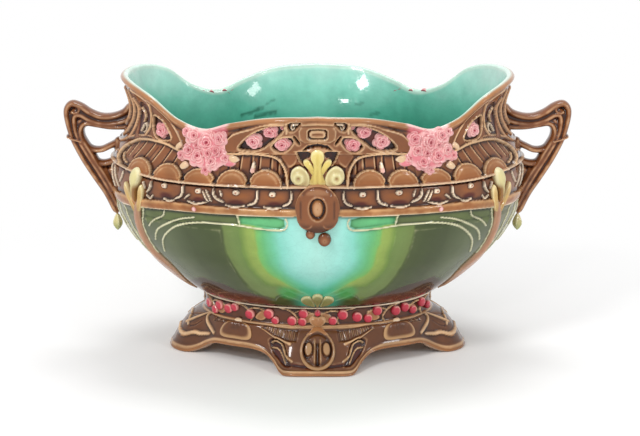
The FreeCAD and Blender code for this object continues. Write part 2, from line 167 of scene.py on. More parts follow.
def rim_z(t):
    """Height of the rim at turn t, found by steps, since the wall leans with height."""
    z = np.full_like(t, 250.0)
    for _ in range(12):
        z = blend_run(np.abs(oval(OUTSIDE, t, z)[..., 0]), *RIM)
    return z


# ---- relief fields ------------------------------------------------------------------------------
def curve(points, per=8, closed=False):
    """Smooth line through points, in two or three numbers each."""
    p = np.array(points, float)
    if len(p) < 3 and not closed:
        return np.array([p[0] + (p[-1] - p[0]) * t for t in np.linspace(0, 1, per + 1)])
    p = np.vstack([p[-1], p, p[:2]]) if closed else np.vstack([2 * p[0] - p[1], p, 2 * p[-1] - p[-2]])
    t = np.linspace(0, 1, per, endpoint=False)[:, None]
    runs = []
    for a, b, c, d in zip(p, p[1:], p[2:], p[3:]):
        runs.append(0.5 * (2 * b + (c - a) * t + (2 * a - 5 * b + 4 * c - d) * t**2
                           + (3 * b - a - 3 * c + d) * t**3))
    line = np.vstack(runs)
    return line if closed else np.vstack([line, p[-2]])


def gap_to(line, s, z):
    """Distance of each (s, z) from a run of points, and how far along the run it is."""
    best, place = np.full(s.shape, 1e9), np.zeros(s.shape)
    count = len(line) - 1
    for i, (p, q) in enumerate(zip(line, line[1:])):
        d = q - p
        t = np.clip(((s - p[0]) * d[0] + (z - p[1]) * d[1]) / max(d @ d, 1e-9), 0, 1)
        gap = np.hypot(s - p[0] - d[0] * t, z - p[1] - d[1] * t)
        closer = gap < best
        best[closer], place[closer] = gap[closer], ((i + t) / count)[closer]
    return best, place


def holds(line, s, z):
    """Which (s, z) lie inside a closed run of points."""
    inside = np.zeros(s.shape, bool)
    for p, q in zip(line, np.roll(line, -1, 0)):
        crosses = (p[1] > z) != (q[1] > z)
        with np.errstate(divide="ignore", invalid="ignore"):
            x = p[0] + (z - p[1]) * (q[0] - p[0]) / (q[1] - p[1])
        inside ^= crosses & (s < x)
    return inside


def blur(field, cells):
    """Gaussian blur over a grid, with a sigma of that many cells."""
    reach = max(1, int(round(cells * 2.5)))
    k = np.exp(-0.5 * (np.arange(-reach, reach + 1) / cells) ** 2)
    k /= k.sum()
    for axis in (0, 1):
        pad = [(reach, reach) if i == axis else (0, 0) for i in range(2)]
        wide = np.pad(field, pad, mode="edge")
        field = sum(w * np.take(wide, range(i, i + field.shape[axis]), axis=axis) for i, w in enumerate(k))
    return field


class Relief:
    """Height and glaze over a wall, stamped on one mark at a time."""

    def __init__(self, s, z, name):
        self.s, self.z = s, z
        self.h = np.zeros(s.shape)
        self.tone = np.empty(s.shape + (3, 3))
        self.tone[:] = np.array(GLAZE[name])

    def near(self, line, reach):
        """Which spots lie within reach of the box round a line."""
        low, high = line.min(0) - reach, line.max(0) + reach
        return ((self.s > low[0]) & (self.s < high[0]) & (self.z > low[1]) & (self.z < high[1]))

    def dye(self, m, name, w):
        """Take the glazes of the spots m towards a named one by w."""
        self.tone[m] += (np.array(GLAZE[name]) - self.tone[m]) * w[:, None, None]

    def wash(self, name, w, least=0.01, share=1.0):
        """Dye wherever the weight w counts."""
        m = w > least
        self.dye(m, name, w[m] * share)

    @staticmethod
    def ways(points, mirrored):
        """The points as given, for the left half, and mirrored for the right."""
        points = np.array(points, float)
        yield points
        if mirrored:
            yield points * (-1, 1)

    def stroke(self, points, width, high, name=None, level=0.0, mirrored=True, taper=0.0, closed=False):
        """A raised round line."""
        for side in self.ways(points, mirrored):
            line = curve(side, closed=closed)
            if closed:
                line = np.vstack([line, line[:1]])
            m = self.near(line, width)
            d, place = gap_to(line, self.s[m], self.z[m])
            r = width / 2 * (1 - taper * np.abs(2 * place - 1) ** 3)
            up = level + high * np.sqrt(np.clip(1 - (d / r) ** 2, 0, 1))
            self.h[m] = np.where(d < r, np.maximum(self.h[m], up), self.h[m])
            if name:
                self.dye(m, name, ramp(1.25, 0.85, d / r))

    def groove(self, points, width, deep, name=None, mirrored=True):
        """A sunk round line."""
        for side in self.ways(points, mirrored):
            line = curve(side)
            m = self.near(line, width)
            d = gap_to(line, self.s[m], self.z[m])[0] / (width / 2)
            self.h[m] -= deep * np.clip(1 - d * d, 0, 1) ** 1.5
            if name:
                self.dye(m, name, ramp(1.1, 0.6, d))

    def area(self, points, level, name=None, bevel=1.6, mirrored=True, smooth=True, crown=0.0):
        """A flat or slightly crowned patch with soft edges."""
        for side in self.ways(points, mirrored):
            line = curve(side, closed=True) if smooth else np.vstack([side, side[:1]])
            m = self.near(line, bevel + 1)
            shut = np.vstack([line, line[:1]])
            d = gap_to(shut, self.s[m], self.z[m])[0]
            d = np.where(holds(line, self.s[m], self.z[m]), d, -d)
            w = ramp(-bevel / 2, bevel / 2, d)
            top = level + crown * ramp(0, max(crown * 3, 4), d)
            self.h[m] = self.h[m] * (1 - w) + top * w
            if name:
                self.dye(m, name, ramp(-bevel / 2, bevel / 4, d))

    def dome(self, centre, size, high, name, level=0.0):
        """A round boss, its size given as two half widths."""
        for way in (1, -1):
            cs, cz = centre[0] * way, centre[1]
            m = (np.abs(self.s - cs) < max(size) + 1) & (np.abs(self.z - cz) < max(size) + 1)
            q = np.hypot((self.s[m] - cs) / size[0], (self.z[m] - cz) / size[1])
            up = level + high * np.clip(1 - q * q, 0, 1) ** 0.5
            inside = q < 1
            self.h[m] = np.where(inside, np.maximum(self.h[m], up), self.h[m])
            self.dye(m, name, ramp(1.1, 0.9, q) * inside)

    def paint(self, cell):
        """Colour from the glazes: pale on raised edges, dark where it pools."""
        fine = self.h - blur(self.h, 1.2 / cell)
        broad = self.h - blur(self.h, 3.2 / cell)
        drift = 0.09 * clouds(self.s, self.z, 7, 3) + 0.05 * clouds(self.s, self.z, 2.2, 4)
        pale = ramp(0.10, 0.62, fine + 0.30 * broad + drift)
        dark = ramp(0.04, 1.0, -(broad * 0.9 + fine) + drift)
        body = self.tone[..., 0, :]
        colour = mix(body, self.tone[..., 1, :], pale * 0.85)
        return mix(colour, self.tone[..., 2, :], dark * 0.90 * (1 - pale))


# ---- meshes -------------------------------------------------------------------------------------
def loop_faces(rows, cols, wrap_cols=False, wrap_rows=True):
    """Four-sided faces over a grid of points, joined up at its ends where wrapped."""
    r = np.arange(rows if wrap_rows else rows - 1)[:, None]
    c = np.arange(cols if wrap_cols else cols - 1)[None, :]
    r2, c2 = (r + 1) % rows, (c + 1) % cols
    return np.stack([r * cols + c, r * cols + c2, r2 * cols + c2, r2 * cols + c], -1).reshape(-1, 4)


def volume(verts, faces):
    """Six times the volume inside the faces; below zero when they look inwards."""
    total = 0.0
    for face in faces:
        face = np.asarray(face)
        p = verts[face]
        for k in range(1, face.shape[-1] - 1):
            total += np.einsum("...i,...i", p[..., 0, :], np.cross(p[..., k, :], p[..., k + 1, :])).sum()
    return total


def make(name, verts, faces, colours, material, slot, body, replaced, sharp=40):
    """One closed piece; faces is a list of whole-number arrays, each with one face size."""
    if volume(verts, faces) < 0:
        faces = [np.asarray(f)[..., ::-1] for f in faces]
    mesh = bpy.data.meshes.new(name)
    rows = [row for f in faces for row in (f.tolist() if np.asarray(f).ndim == 2 else [f.tolist()])]
    mesh.from_pydata((verts * MM).tolist(), [], rows)
    mesh.polygons.foreach_set("use_smooth", np.ones(len(mesh.polygons), bool))
    if sharp:
        mesh.set_sharp_from_angle(angle=math.radians(sharp))
    layer = mesh.color_attributes.new("glaze", "FLOAT_COLOR", "POINT")
    rgba = np.concatenate([np.clip(colours, 0, 1), np.ones((len(colours), 1))], 1)
    layer.data.foreach_set("color", rgba.astype(np.float32).ravel())
    mesh.materials.append(material)
    mesh.update()
    obj = bpy.data.objects.new(name, mesh)
    bpy.context.scene.collection.objects.link(obj)
    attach(obj, body)
    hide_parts(*replaced)


def half_ring(name, points, colours, back, **rest):
    """Front half of a ring from its rows of points, or that half mirrored to the back."""
    rows, cols = points.shape[:2]
    verts = points.reshape(-1, 3).copy()
    if back:
        verts[:, 1] *= -1
    ends = [np.arange(rows) * cols, (np.arange(rows) * cols + cols - 1)[::-1]]
    faces = [loop_faces(rows, cols)] + [e[::-1] for e in ends]
    make(name, verts, faces, colours.reshape(-1, 3), sharp=55, **rest)


LOBE_SINK = 1.5         # how far separate relief reaches into the wall behind it
NO_EDGE = 2.0           # an edge share past 1 leaves a lobe without its pale rim


class Heap:
    """Several closed shells gathered into one piece."""

    def __init__(self):
        self.verts, self.faces, self.colours, self.count = [], {}, [], 0

    def add(self, verts, faces, colours):
        """One more closed shell, turned so that it looks outwards."""
        if volume(verts, faces) < 0:
            faces = [np.asarray(f)[..., ::-1] for f in faces]
        for f in faces:
            f = np.atleast_2d(f)
            self.faces.setdefault(f.shape[1], []).append(f + self.count)
        self.verts.append(verts)
        self.colours.append(colours)
        self.count += len(verts)

    def make(self, name, back=True, **rest):
        """The piece, with the same shells repeated on the back unless back is False."""
        verts, colours = np.vstack(self.verts), np.vstack(self.colours)
        faces = [np.vstack(f) for f in self.faces.values()]
        if back:
            n = len(verts)
            verts = np.vstack([verts, verts * (1, -1, 1)])
            colours = np.vstack([colours, colours])
            faces = faces + [f[:, ::-1] + n for f in faces]
        make(name, verts, faces, colours, **rest)


def circle(u, v, wide, high, count=12):
    """Points of a round or oval outline about (u, v)."""
    return [(u + wide * math.sin(a), v + high * math.cos(a)) for a in np.linspace(0, 6.2832, count + 1)[:-1]]


def lobe(heap, place, outline, high, name, rings=10, flat=0.0, marks=None, edge=0.75, mirrored=True):
    """A domed patch with a smooth outline, added to a heap.

    place(u, v, h) puts it on its wall, flat is the share of its width that stays level, marks(u, v, r)
    gives more height and paler or darker tones, and past the share edge its glaze runs thin and pale.
    """
    for way in (1, -1) if mirrored else (1,):
        ring = curve(np.array(outline, float) * (way, 1), per=6, closed=True)
        centre = ring.mean(0)
        n = len(ring)
        u = np.linspace(0, 1, rings + 1)[1:] ** 0.8
        p = centre + (ring - centre) * u[:, None, None]
        swell = np.clip((1 - u[:, None]) / (1 - flat), 0, 1)
        h = high * (0.42 + 0.58 * np.sqrt(np.clip(1 - (1 - swell) ** 2, 0, 1))) + 0 * p[..., 0]
        top = high
        tone = 0 * h
        if marks is not None:
            dh, tone = marks(p[..., 0] * way, p[..., 1], u[:, None] + 0 * h)
            h = h + dh
            top = high + float(marks(centre[:1] * way, centre[1:], np.zeros(1))[0][0])
        verts = [place(p[..., 0], p[..., 1], h).reshape(-1, 3),
                 place(ring[:, 0], ring[:, 1], np.full(n, -LOBE_SINK)),
                 place(centre[:1], centre[1:], np.array([top])),
                 place(centre[:1], centre[1:], np.array([-LOBE_SINK]))]
        verts = np.vstack(verts)
        rows = rings + 1
        faces = [loop_faces(rows, n, wrap_cols=True, wrap_rows=False)]
        i = np.arange(n)
        j = (i + 1) % n
        front, behind = rows * n, rows * n + 1
        faces.append(np.stack([i * 0 + front, i, j], -1)[:, ::-1])
        faces.append(np.stack([i * 0 + behind, rings * n + i, rings * n + j], -1))
        mid, pale, dark = GLAZE[name]
        thin = ramp(edge, 1.0, u[:, None] + 0 * h) * 0.75 if edge < 1 else 0 * h
        w = thin + np.clip(tone, 0, 1)
        col = mix(mid + 0 * p[..., :1], pale, np.clip(w, 0, 1))
        col = mix(col, dark, np.clip(-tone, 0, 1))
        colours = np.vstack([col.reshape(-1, 3), np.tile(dark, (n, 1)), mid[None], dark[None]])
        heap.add(verts, faces, colours)


def on_body(s, z, h):
    """Point h out from the bowl."""
    return off_wall(OUTSIDE, turn_at(s), z, h)


def rose(heap, centre, out, radius, high, seed, sink=2.0):
    """A full-blown rose: four rings of overlapping petals, cupped to pale edges round a deep heart."""
    rng = np.random.default_rng(seed)
    out = np.array(out, float) / np.linalg.norm(out)
    side = np.cross(out, (0, 0, 1.0))
    side /= np.linalg.norm(side)
    up = np.cross(side, out)
    spokes, rings = 60, 26
    a = np.linspace(0, 2 * math.pi, spokes, endpoint=False)
    phase = rng.uniform(0, 6.28, 4)
    bounds = []
    for k, (share, n) in enumerate(zip((1.0, 0.74, 0.48, 0.25), (5, 4, 3, 3))):
        wave = np.abs(np.cos(n * (a + phase[k]) / 2)) ** 0.7
        bounds.append(radius * share * (0.74 + 0.26 * wave) * (1 + 0.07 * np.sin(a + phase[k])))
    r = np.linspace(0.04, 1, rings)[:, None] * bounds[0][None]
    h, u, level = np.zeros_like(r), np.zeros_like(r), np.zeros_like(r)
    for k, (base, cup) in enumerate(((0.26, 0.30), (0.42, 0.34), (0.56, 0.32), (0.62, 0.26))):
        x = r / bounds[k]
        tilt = 1 + 0.10 * np.sin(a + phase[k])
        new = high * (base + cup * np.clip(x, 0, 1) ** 2.2) * tilt
        new -= high * (0.40 if k == 0 else 0.14) * ramp(0.80, 1.0, x)
        inside = x <= 1.001
        h = np.where(inside, new, h)
        u, level = np.where(inside, x, u), np.where(inside, k, level)
    p = centre + out * h[..., None] + side * (r * np.cos(a))[..., None] + up * (r * np.sin(a))[..., None]
    edge = bounds[0]
    foot = centre - out * sink + side * (edge * np.cos(a))[:, None] + up * (edge * np.sin(a))[:, None]
    top = centre + out * high * 0.62
    verts = np.vstack([p.reshape(-1, 3), foot, top[None], (centre - out * sink)[None]])
    rows = rings + 1
    i = np.arange(spokes)
    j = (i + 1) % spokes
    faces = [loop_faces(rows, spokes, wrap_cols=True, wrap_rows=False),
             np.stack([i * 0 + rows * spokes, i, j], -1)[:, ::-1],
             np.stack([i * 0 + rows * spokes + 1, rings * spokes + i, rings * spokes + j], -1)]
    mid, pale, dark = GLAZE["pink"]
    shift = 0.16 * rng.uniform(-1, 1)
    col = mix(mid + 0 * p[..., :1], pale, np.clip(ramp(0.5, 0.97, u) * 0.66 + shift, 0, 1))
    seat = ramp(0.70, 0.05, u) * np.where(level >= 2, 0.85, 0.60)
    col = mix(col, dark, seat)
    col = mix(col, glaze(150, 40, 58), ramp(0.20, 0.06, r / radius) * 0.8)
    colours = np.vstack([col.reshape(-1, 3), np.tile(mid * 0.8, (spokes, 1)), dark[None] * 0.7, dark[None]])
    heap.add(verts, faces, colours)


# ---- materials ----------------------------------------------------------------------------------
def node(tree, kind, feeds=None, **values):
    """A node with its values; feeds gives the output that feeds an input, by name or number."""
    made = tree.nodes.new("ShaderNode" + kind)
    for key, value in values.items():
        if key in made.inputs:
            made.inputs[key].default_value = value
        else:
            setattr(made, key, value)
    for key, output in (feeds or {}).items():
        tree.links.new(output, made.inputs[key])
    return made


def span(tree, value, start, stop, low=0.0, high=1.0):
    """The value taken from start and stop to low and high."""
    ends = {"From Min": start, "From Max": stop, "To Min": low, "To Max": high}
    return node(tree, "MapRange", {"Value": value}, **ends).outputs["Result"]


def blended(tree, colour, other, share):
    """The colour mixed with a written one by a share."""
    mixer = node(tree, "Mix", {0: share, 6: colour}, data_type="RGBA")
    mixer.inputs[7].default_value = (*other, 1)
    return mixer.outputs[2]


def shaded(name):
    """A new material with its node tree and its shader."""
    material = bpy.data.materials.new(name)
    material.use_nodes = True
    return material, material.node_tree, material.node_tree.nodes["Principled BSDF"]


def glazed(name, mottle=0.10, rough=0.16, crackle=0.0, bump=0.25):
    """Wet-looking majolica glaze over the painted colours, with mottling, pinholes and fine waves."""
    material, tree, shader = shaded(name)
    where = node(tree, "TexCoord").outputs["Object"]
    painted = node(tree, "Attribute", attribute_name="glaze").outputs["Color"]
    cloud = node(tree, "TexNoise", {"Vector": where}, Scale=55.0, Detail=5.0, Roughness=0.6).outputs["Fac"]
    uneven = span(tree, cloud, 0.3, 0.7, 1 - mottle, 1 + mottle)
    shade = node(tree, "VectorMath", {0: painted, "Scale": uneven}, operation="SCALE").outputs["Vector"]
    speck = node(tree, "TexVoronoi", {"Vector": where}, Scale=420.0).outputs["Distance"]
    dots = span(tree, speck, 0.05, 0.16, 0.55, 0.0)
    rare = node(tree, "TexNoise", {"Vector": where}, Scale=38.0, Detail=2.0).outputs["Fac"]
    pinholes = node(tree, "Math", {0: dots, 1: span(tree, rare, 0.60, 0.72)}, operation="MULTIPLY").outputs[0]
    colour = blended(tree, shade, glaze(52, 34, 22), pinholes)
    if crackle:
        cells = node(tree, "TexVoronoi", {"Vector": where}, feature="DISTANCE_TO_EDGE", Scale=150.0)
        fine = span(tree, cells.outputs["Distance"], 0.0, 0.03, crackle, 0.0)
        colour = blended(tree, colour, glaze(70, 80, 60), fine)
    wave = node(tree, "TexNoise", {"Vector": where}, Scale=140.0, Detail=3.0).outputs["Fac"]
    lift = node(tree, "Bump", {"Height": wave}, Strength=bump, Distance=0.0012).outputs["Normal"]
    gloss = span(tree, cloud, 0.3, 0.7, rough * 0.7, rough * 1.5)
    for key, output in (("Base Color", colour), ("Roughness", gloss), ("Normal", lift)):
        tree.links.new(output, shader.inputs[key])
    for key, value in (("IOR", 1.5), ("Specular IOR Level", 0.18), ("Coat Weight", 0.48),
                       ("Coat Roughness", 0.03)):
        shader.inputs[key].default_value = value
    return material


shoulder_glaze = glazed("glaze_shoulder")
belly_glaze = glazed("glaze_belly", mottle=0.07, rough=0.12, crackle=0.10, bump=0.12)
relief_glaze = glazed("glaze_relief", mottle=0.10)
petal_glaze = glazed("glaze_petals", mottle=0.06, rough=0.14)
stand_glaze = glazed("glaze_stand", mottle=0.14)

# ---- relief on the wall -------------------------------------------------------------------------
SEAM_Z, LIP = 148.0, 2.6                # where upper and lower wall meet, and the half thickness of the lip
SHOULDER_RUN = 108                      # the way up the wall from the seam, for the count of rows
SIDES = {False: "front", True: "back"}
LEDGE_RUN = ((0, 13, 31, 62, 94, 128, 147, 168, 198, 252),
             (187.6, 187.4, 187, 186.8, 186, 185.2, 185, 185.6, 187.4, 188.2))
BAND_LOW = ((-252, -200, -174, -142, -115, -63, 0), (152, 153.4, 155.6, 158.4, 159.4, 160.6, 161))
FRAME_TOP = ((-193, 216), (-178, 218), (-166, 218), (-153, 217), (-136, 212.7), (-92, 213.5), (-79, 214.7),
             (-66, 216), (-52.7, 216), (-42, 214.6), (-35, 211), (-30, 204), (-27.6, 196.6), (-26.6, 188))
FRAME_END = ((-193, 216), (-207.6, 209.3), (-218.4, 202), (-221.2, 193.6), (-212, 189.4))
SCALLOPS = ((-46.8, 14.8, 202.3), (-77, 14.4, 200.8), (-109, 15.6, 199.4), (-142.6, 15.8, 200.6),
            (-178, 15.6, 200.6))


# upright and slanting ribs in the panels over the ledge
PANEL_RIBS = ([(-84, 213.6), (-83, 200)], [(-73.3, 214), (-72.6, 199)], [(-62.7, 214), (-61.6, 199)],
              [(-55.2, 214), (-54.6, 200)], [(-44, 213.6), (-43.6, 202)], [(-37.2, 210.6), (-36.4, 199)],
              [(-31.8, 205), (-30.6, 192)], [(-205, 210), (-212, 200)], [(-194, 214.6), (-204.5, 199)],
              [(-182.7, 215.8), (-194.5, 199)], [(-169.6, 216.2), (-180.6, 199)],
              [(-157.7, 215.6), (-167.4, 199)], [(-147, 214), (-155, 198)], [(-137.9, 211), (-142.6, 199)])
# lines on the wings and ends: points, width, height and glaze
WING_LINES = (([(-207.9, 260), (-189.6, 257), (-179.6, 251.5), (-178.6, 245), (-178.4, 238.9),
                (-179.4, 229), (-184, 221.4)], 2.6, 2.0, "tan"),
              ([(-195, 259.6), (-176.9, 252.8), (-158, 240.6), (-147, 231.6), (-138, 221.6), (-133.8, 215)],
               1.8, 1.2, "tan"), ([(-206.4, 252.5), (-199.8, 245.8), (-201.4, 235), (-206, 222.5),
                                   (-213, 214)], 3.2, 2.4, "brown"),
              ([(-216, 258), (-211, 246), (-213, 232), (-222, 220), (-232, 213)], 3.0, 2.2, "brown"),
              ([(-232, 258), (-226, 246), (-228, 232), (-240, 222)], 3.0, 2.0, "brown"),
              ([(-192.1, 223.7), (-188.6, 231), (-184.8, 231), (-184, 226), (-187.4, 223.6)], 1.5, 2.0,
               "cream"), ([(-193, 246), (-188, 240), (-190, 233)], 1.6, 1.6, "tan"),
              ([(-252, 206), (-236, 207), (-224, 210), (-214, 214), (-204, 217)], 2.6, 2.0, "brown"),
              ([(-252, 196), (-238, 197), (-228, 199)], 2.2, 1.6, "brown"),
              ([(-196, 219.4), (-178, 221.2), (-166, 218.6)], 1.2, 0.8, "tan"))


def arch(at, foot, wide, high, degrees):
    """Points of a half oval that stands on foot."""
    return [(at + wide * math.cos(math.radians(k)), foot + high * math.sin(math.radians(k))) for k in degrees]


def shoulder_marks(f, top):
    """Everything in relief between the ledge and the rim, left half given and mirrored."""
    s, z = f.s, f.z
    a = np.abs(s)
    ledge = np.interp(a, *LEDGE_RUN)
    # the two panels over the ledge, sunk and ribbed
    panel = list(FRAME_TOP[5:]) + [(-92, 187)]
    wing_panel = list(FRAME_TOP[:5]) + [(-128, 187)] + list(FRAME_END[::-1])
    f.area(panel, -1.3, "brown", bevel=1.2, smooth=False)
    f.area(wing_panel, -1.3, "brown", bevel=1.2, smooth=False)
    f.area([(-140, 212), (-92, 213), (-92, 187), (-128, 187)], -1.0, "brown", bevel=1.0, smooth=False)
    for line in PANEL_RIBS:
        f.groove(line, 2.2, 1.1, "red")
        f.stroke([(p + 1.9, q) for p, q in line], 1.2, 0.55, "tan", -1.3)
    f.groove([(-190, 206), (-196.5, 199)], 1.3, 0.5, "red")
    f.groove([(-164, 213), (-172, 200)], 1.3, 0.5, "red")
    f.dome((-59.4, 204), (1.9, 5.0), 2.6, "cream", -0.6)
    f.dome((-59.4, 201.4), (2.2, 2.6), 0.1, "pink", 1.4)
    # thin pale lines that frame them
    for line in (FRAME_TOP[5:], FRAME_TOP[:5], FRAME_END):
        f.stroke(line, 2.3, 1.7, "tan", 0.5)
    f.stroke([(-212, 200), (-209, 195), (-201, 192.4)], 1.7, 1.5, "tan", -0.6)
    f.stroke([(-136.5, 212.7), (-131, 210)], 1.8, 1.4, "tan", 0.4)
    # scallops standing on the ledge
    for at, wide, high in SCALLOPS:
        foot = float(np.interp(-at, *LEDGE_RUN)) + 0.4
        outline = arch(at, foot, wide, high - foot, range(0, 181, 15))
        f.area(outline, 1.2, "tan", bevel=1.2, smooth=False, crown=0.9)
        m = f.near(np.array([(-at - wide, foot), (-at + wide, high)]), 1) | f.near(
            np.array([(at - wide, foot), (at + wide, high)]), 1)
        low = ramp(foot + 9.5, foot + 1.5, z[m]) * ramp(wide, wide - 2, np.abs(a[m] + at))
        f.dye(m, "amber", np.clip(0.45 + low, 0, 1) * ramp(wide, wide - 2, np.abs(a[m] + at)) * 0.9)
        f.stroke(outline, 1.2, 0.9, "tan", 1.3)
        f.groove(arch(at, foot, wide - 2.4, high - foot - 2.2, range(14, 167, 15)), 1.0, 0.3)
    for at in (-62.2, -93.4, -126, -160):
        f.area([(at - 2.2, 188), (at + 2.2, 188), (at + 0.6, 193), (at - 0.6, 193)], -1.6, "red", bevel=1.0)
    # the ledge: a thin pale line over a dark one, all the way round; the dark one is a groove dyed dark red
    # as painted shadow under the ledge
    below = np.abs(z - ledge + 1.7)
    f.dye(below < 1.6, "red", ramp(1.6, 0.9, below[below < 1.6]))
    f.h -= 1.7 * np.exp(-((z - ledge + 1.8) / 1.05) ** 2)
    f.h += 2.6 * np.exp(-((z - ledge - 0.5) / 1.15) ** 2)
    edge = np.exp(-((z - ledge - 0.8) / 0.8) ** 2)
    f.wash("cream", edge, least=0.2, share=0.62)
    # cartouche under the middle of the rim
    f.area([(-93, 215), (-88, 226), (-82, 233), (-66, 240), (-52, 245), (-29, 250), (0, 252), (0, 219),
            (-20, 217), (-42, 216.4), (-52, 217.4), (-66, 217.6), (-79, 216.2)], 1.6, "brown", bevel=1.8,
           smooth=False)
    f.area([(-18, 240), (-14.5, 247), (-8, 249), (8, 249), (14.5, 247), (18, 240), (17, 232), (12, 229),
            (-12, 229), (-17, 232)], 2.4, "tan", bevel=1.2, mirrored=False, smooth=False)
    plaque = (a < 17) & (z > 229) & (z < 250)
    f.dye(plaque, "brown", np.full(plaque.sum(), 0.45))
    recess_a = [(-75, 219.4), (-73.4, 225), (-66.8, 231.8), (-59, 237.4), (-48, 242.8), (-39, 245.2),
                (-32, 245.2), (-31.6, 240.7), (-37.2, 233.4), (-45.4, 226.6), (-51.7, 221.4), (-60.7, 219)]
    recess_b = [(-43, 222.2), (-41, 228.2), (-34, 233.2), (-25, 234), (-22.6, 228.7), (-27, 221.8),
                (-34.8, 218.3)]
    for recess in (recess_a, recess_b):
        f.area(recess, -2.2, "red", bevel=1.5)
        f.stroke(recess, 1.2, 0.9, "tan", 1.5, closed=True)
    f.stroke([(-90, 222), (-82, 231), (-66, 238.2), (-52.6, 243.4), (-40.8, 247), (-29, 249.2),
              (-13.7, 250.6), (0, 251)], 1.4, 0.7, "tan", 1.5)
    f.stroke([(-74, 216.8), (-60, 217.4), (-46, 217.6)], 1.2, 0.6, "tan", 1.4)
    # curls and slots beside the plaque
    f.area([(-27.4, 247), (-16, 248.2), (-19.4, 242.6), (-23.6, 239.8), (-27.2, 240.8)], -1.8, "red",
           bevel=1.0)
    f.stroke([(-18.5, 246.8), (-22.5, 246.6), (-25, 244), (-23.6, 241.8), (-21.6, 243)], 1.5, 2.6, "cream",
             0.0)
    f.area([(-22.8, 233.8), (-21.2, 234.4), (-16.6, 228), (-18, 227)], -1.4, "red", bevel=0.9)
    f.stroke([(-29.2, 248.4), (-29.4, 238)], 2.2, 0.7, "tan", 1.5)
    # tablet in its groove
    for z0, z1, half, level, name in ((231.2, 243.8, 10.2, 2.9, "tan"), (232.5, 242.6, 9, 0.9, "red"),
                                      (233.9, 241.3, 7.6, 2.9, "tan")):
        f.area([(-half, z0 + 2), (-half, z1 - 2), (2 - half, z1), (half - 2, z1), (half, z1 - 2),
                (half, z0 + 2), (half - 2, z0), (2 - half, z0)], level, name, bevel=0.9, mirrored=False,
               smooth=False)
    f.groove([(-4, 237.6), (4, 237.6)], 2.0, 0.5, "brown", mirrored=False)
    # dark arch and corners round the palmette; the arch is sunk and dyed dark red as painted shadow under the
    # cartouche
    f.area([(-14.5, 220.4), (-8, 222.6), (0, 224.4), (8, 222.6), (14.5, 220.4), (9, 226), (0, 227.6),
            (-9, 226)], -2.0, "red", bevel=1.2, mirrored=False, smooth=False)
    f.area([(-19.5, 219), (-8, 219.6), (-7, 215), (-11, 212.6), (-12, 208.6), (-15.8, 211.5)], -2.0, "red",
           bevel=1.2)
    f.area([(-26, 207), (-17, 208), (-9, 206), (-8, 190), (-25, 190)], -1.0, "red", bevel=1.6, smooth=False)
    f.stroke([(-20.4, 220.4), (-18, 214.6), (-16.4, 211), (-13, 207)], 1.2, 1.2, "tan", 0.8)
    f.stroke([(-22, 220.6), (-14, 220.8), (-8, 221)], 1.2, 1.0, "tan", 0.8)
    f.area([(-33, 216), (-20, 216.4), (-19.6, 210), (-25, 205), (-28.6, 208)], 1.0, "brown", bevel=2.0)
    # wings: lines that sweep down from the end of the rim, and one sunk seat for a rose
    f.area([(-197, 250), (-184, 248), (-181, 238), (-182, 228), (-190, 221), (-198, 220), (-199, 235)],
           -1.2, "red", bevel=2.2)
    f.area([(-252, 218), (-212, 216), (-206, 226), (-204, 240), (-210, 250), (-252, 250)], -1.0, "brown",
           bevel=2.4, smooth=False)
    recess = [(-174.4, 241.4), (-175.4, 231.6), (-170.4, 222.8), (-161.1, 219.6), (-149, 221.4),
              (-153.6, 229), (-162.4, 237.4)]
    f.area(recess, -2.0, "red", bevel=1.6)
    f.stroke(recess, 1.4, 1.2, "tan", 0.3, closed=True)
    for line, width, high, name in WING_LINES:
        f.stroke(line, width, high, name, -0.2, taper=0.2)
    # the wall meets the lip in a soft bead; the marks fade out under it
    drop = top - z
    f.h *= ramp(0.2, 3.0, drop)
    f.h += 1.5 * np.exp(-((drop - 0.2) / 2.4) ** 2)
    lip = ramp(3.6, 0.6, drop)
    f.wash("tan", lip, share=0.85)
    line = np.exp(-((drop - 4.6) / 0.9) ** 2)
    f.h -= 0.5 * line
    f.wash("brown", line, least=0.1, share=0.8)
    # over the roses the glaze runs pink to the lip
    f.wash("pink", ramp(24, 18, np.abs(a - 110)) * ramp(12, 4, drop))


# tall curls that part the bays under the ledge
BAY_CURLS = ([(-124.7, 184), (-125.2, 176.1), (-127.9, 172), (-133.2, 169.6)],
             [(-94.8, 183.6), (-94, 177.3), (-90.9, 173.6), (-85, 171)],
             [(-53.4, 184), (-53.9, 176.2), (-56.2, 171.9), (-62.5, 169.4)],
             [(-23.4, 184), (-23.2, 176.6), (-25.7, 172.2), (-30.5, 170)],
             [(-160, 184), (-161.6, 176), (-166, 171)])
# small curls inside the bays
SMALL_CURLS = ([(-166.8, 168.4), (-162.2, 165.8), (-159.6, 168.9)],
               [(-146, 168), (-140, 166.8), (-134, 168)],
               [(-120.3, 168.9), (-113.4, 167.2), (-107, 168), (-101.1, 169.8)], [(-118, 175), (-123, 171)],
               [(-101.6, 181), (-98.6, 175), (-96.6, 171)], [(-104.6, 180), (-102, 174), (-99.4, 170.6)],
               [(-82.8, 168.4), (-75.2, 167.2), (-65.7, 168.6)],
               [(-48.3, 168.6), (-40.3, 167.4), (-32.4, 168.4)], [(-88, 181.6), (-86.4, 176)],
               [(-171, 180), (-168, 174)])
# curls under the handles
END_CURLS = ([(-203, 185), (-206, 178), (-212, 172)], [(-226, 185), (-222, 176), (-214, 167)],
             [(-240, 184), (-238, 174), (-228, 165)])
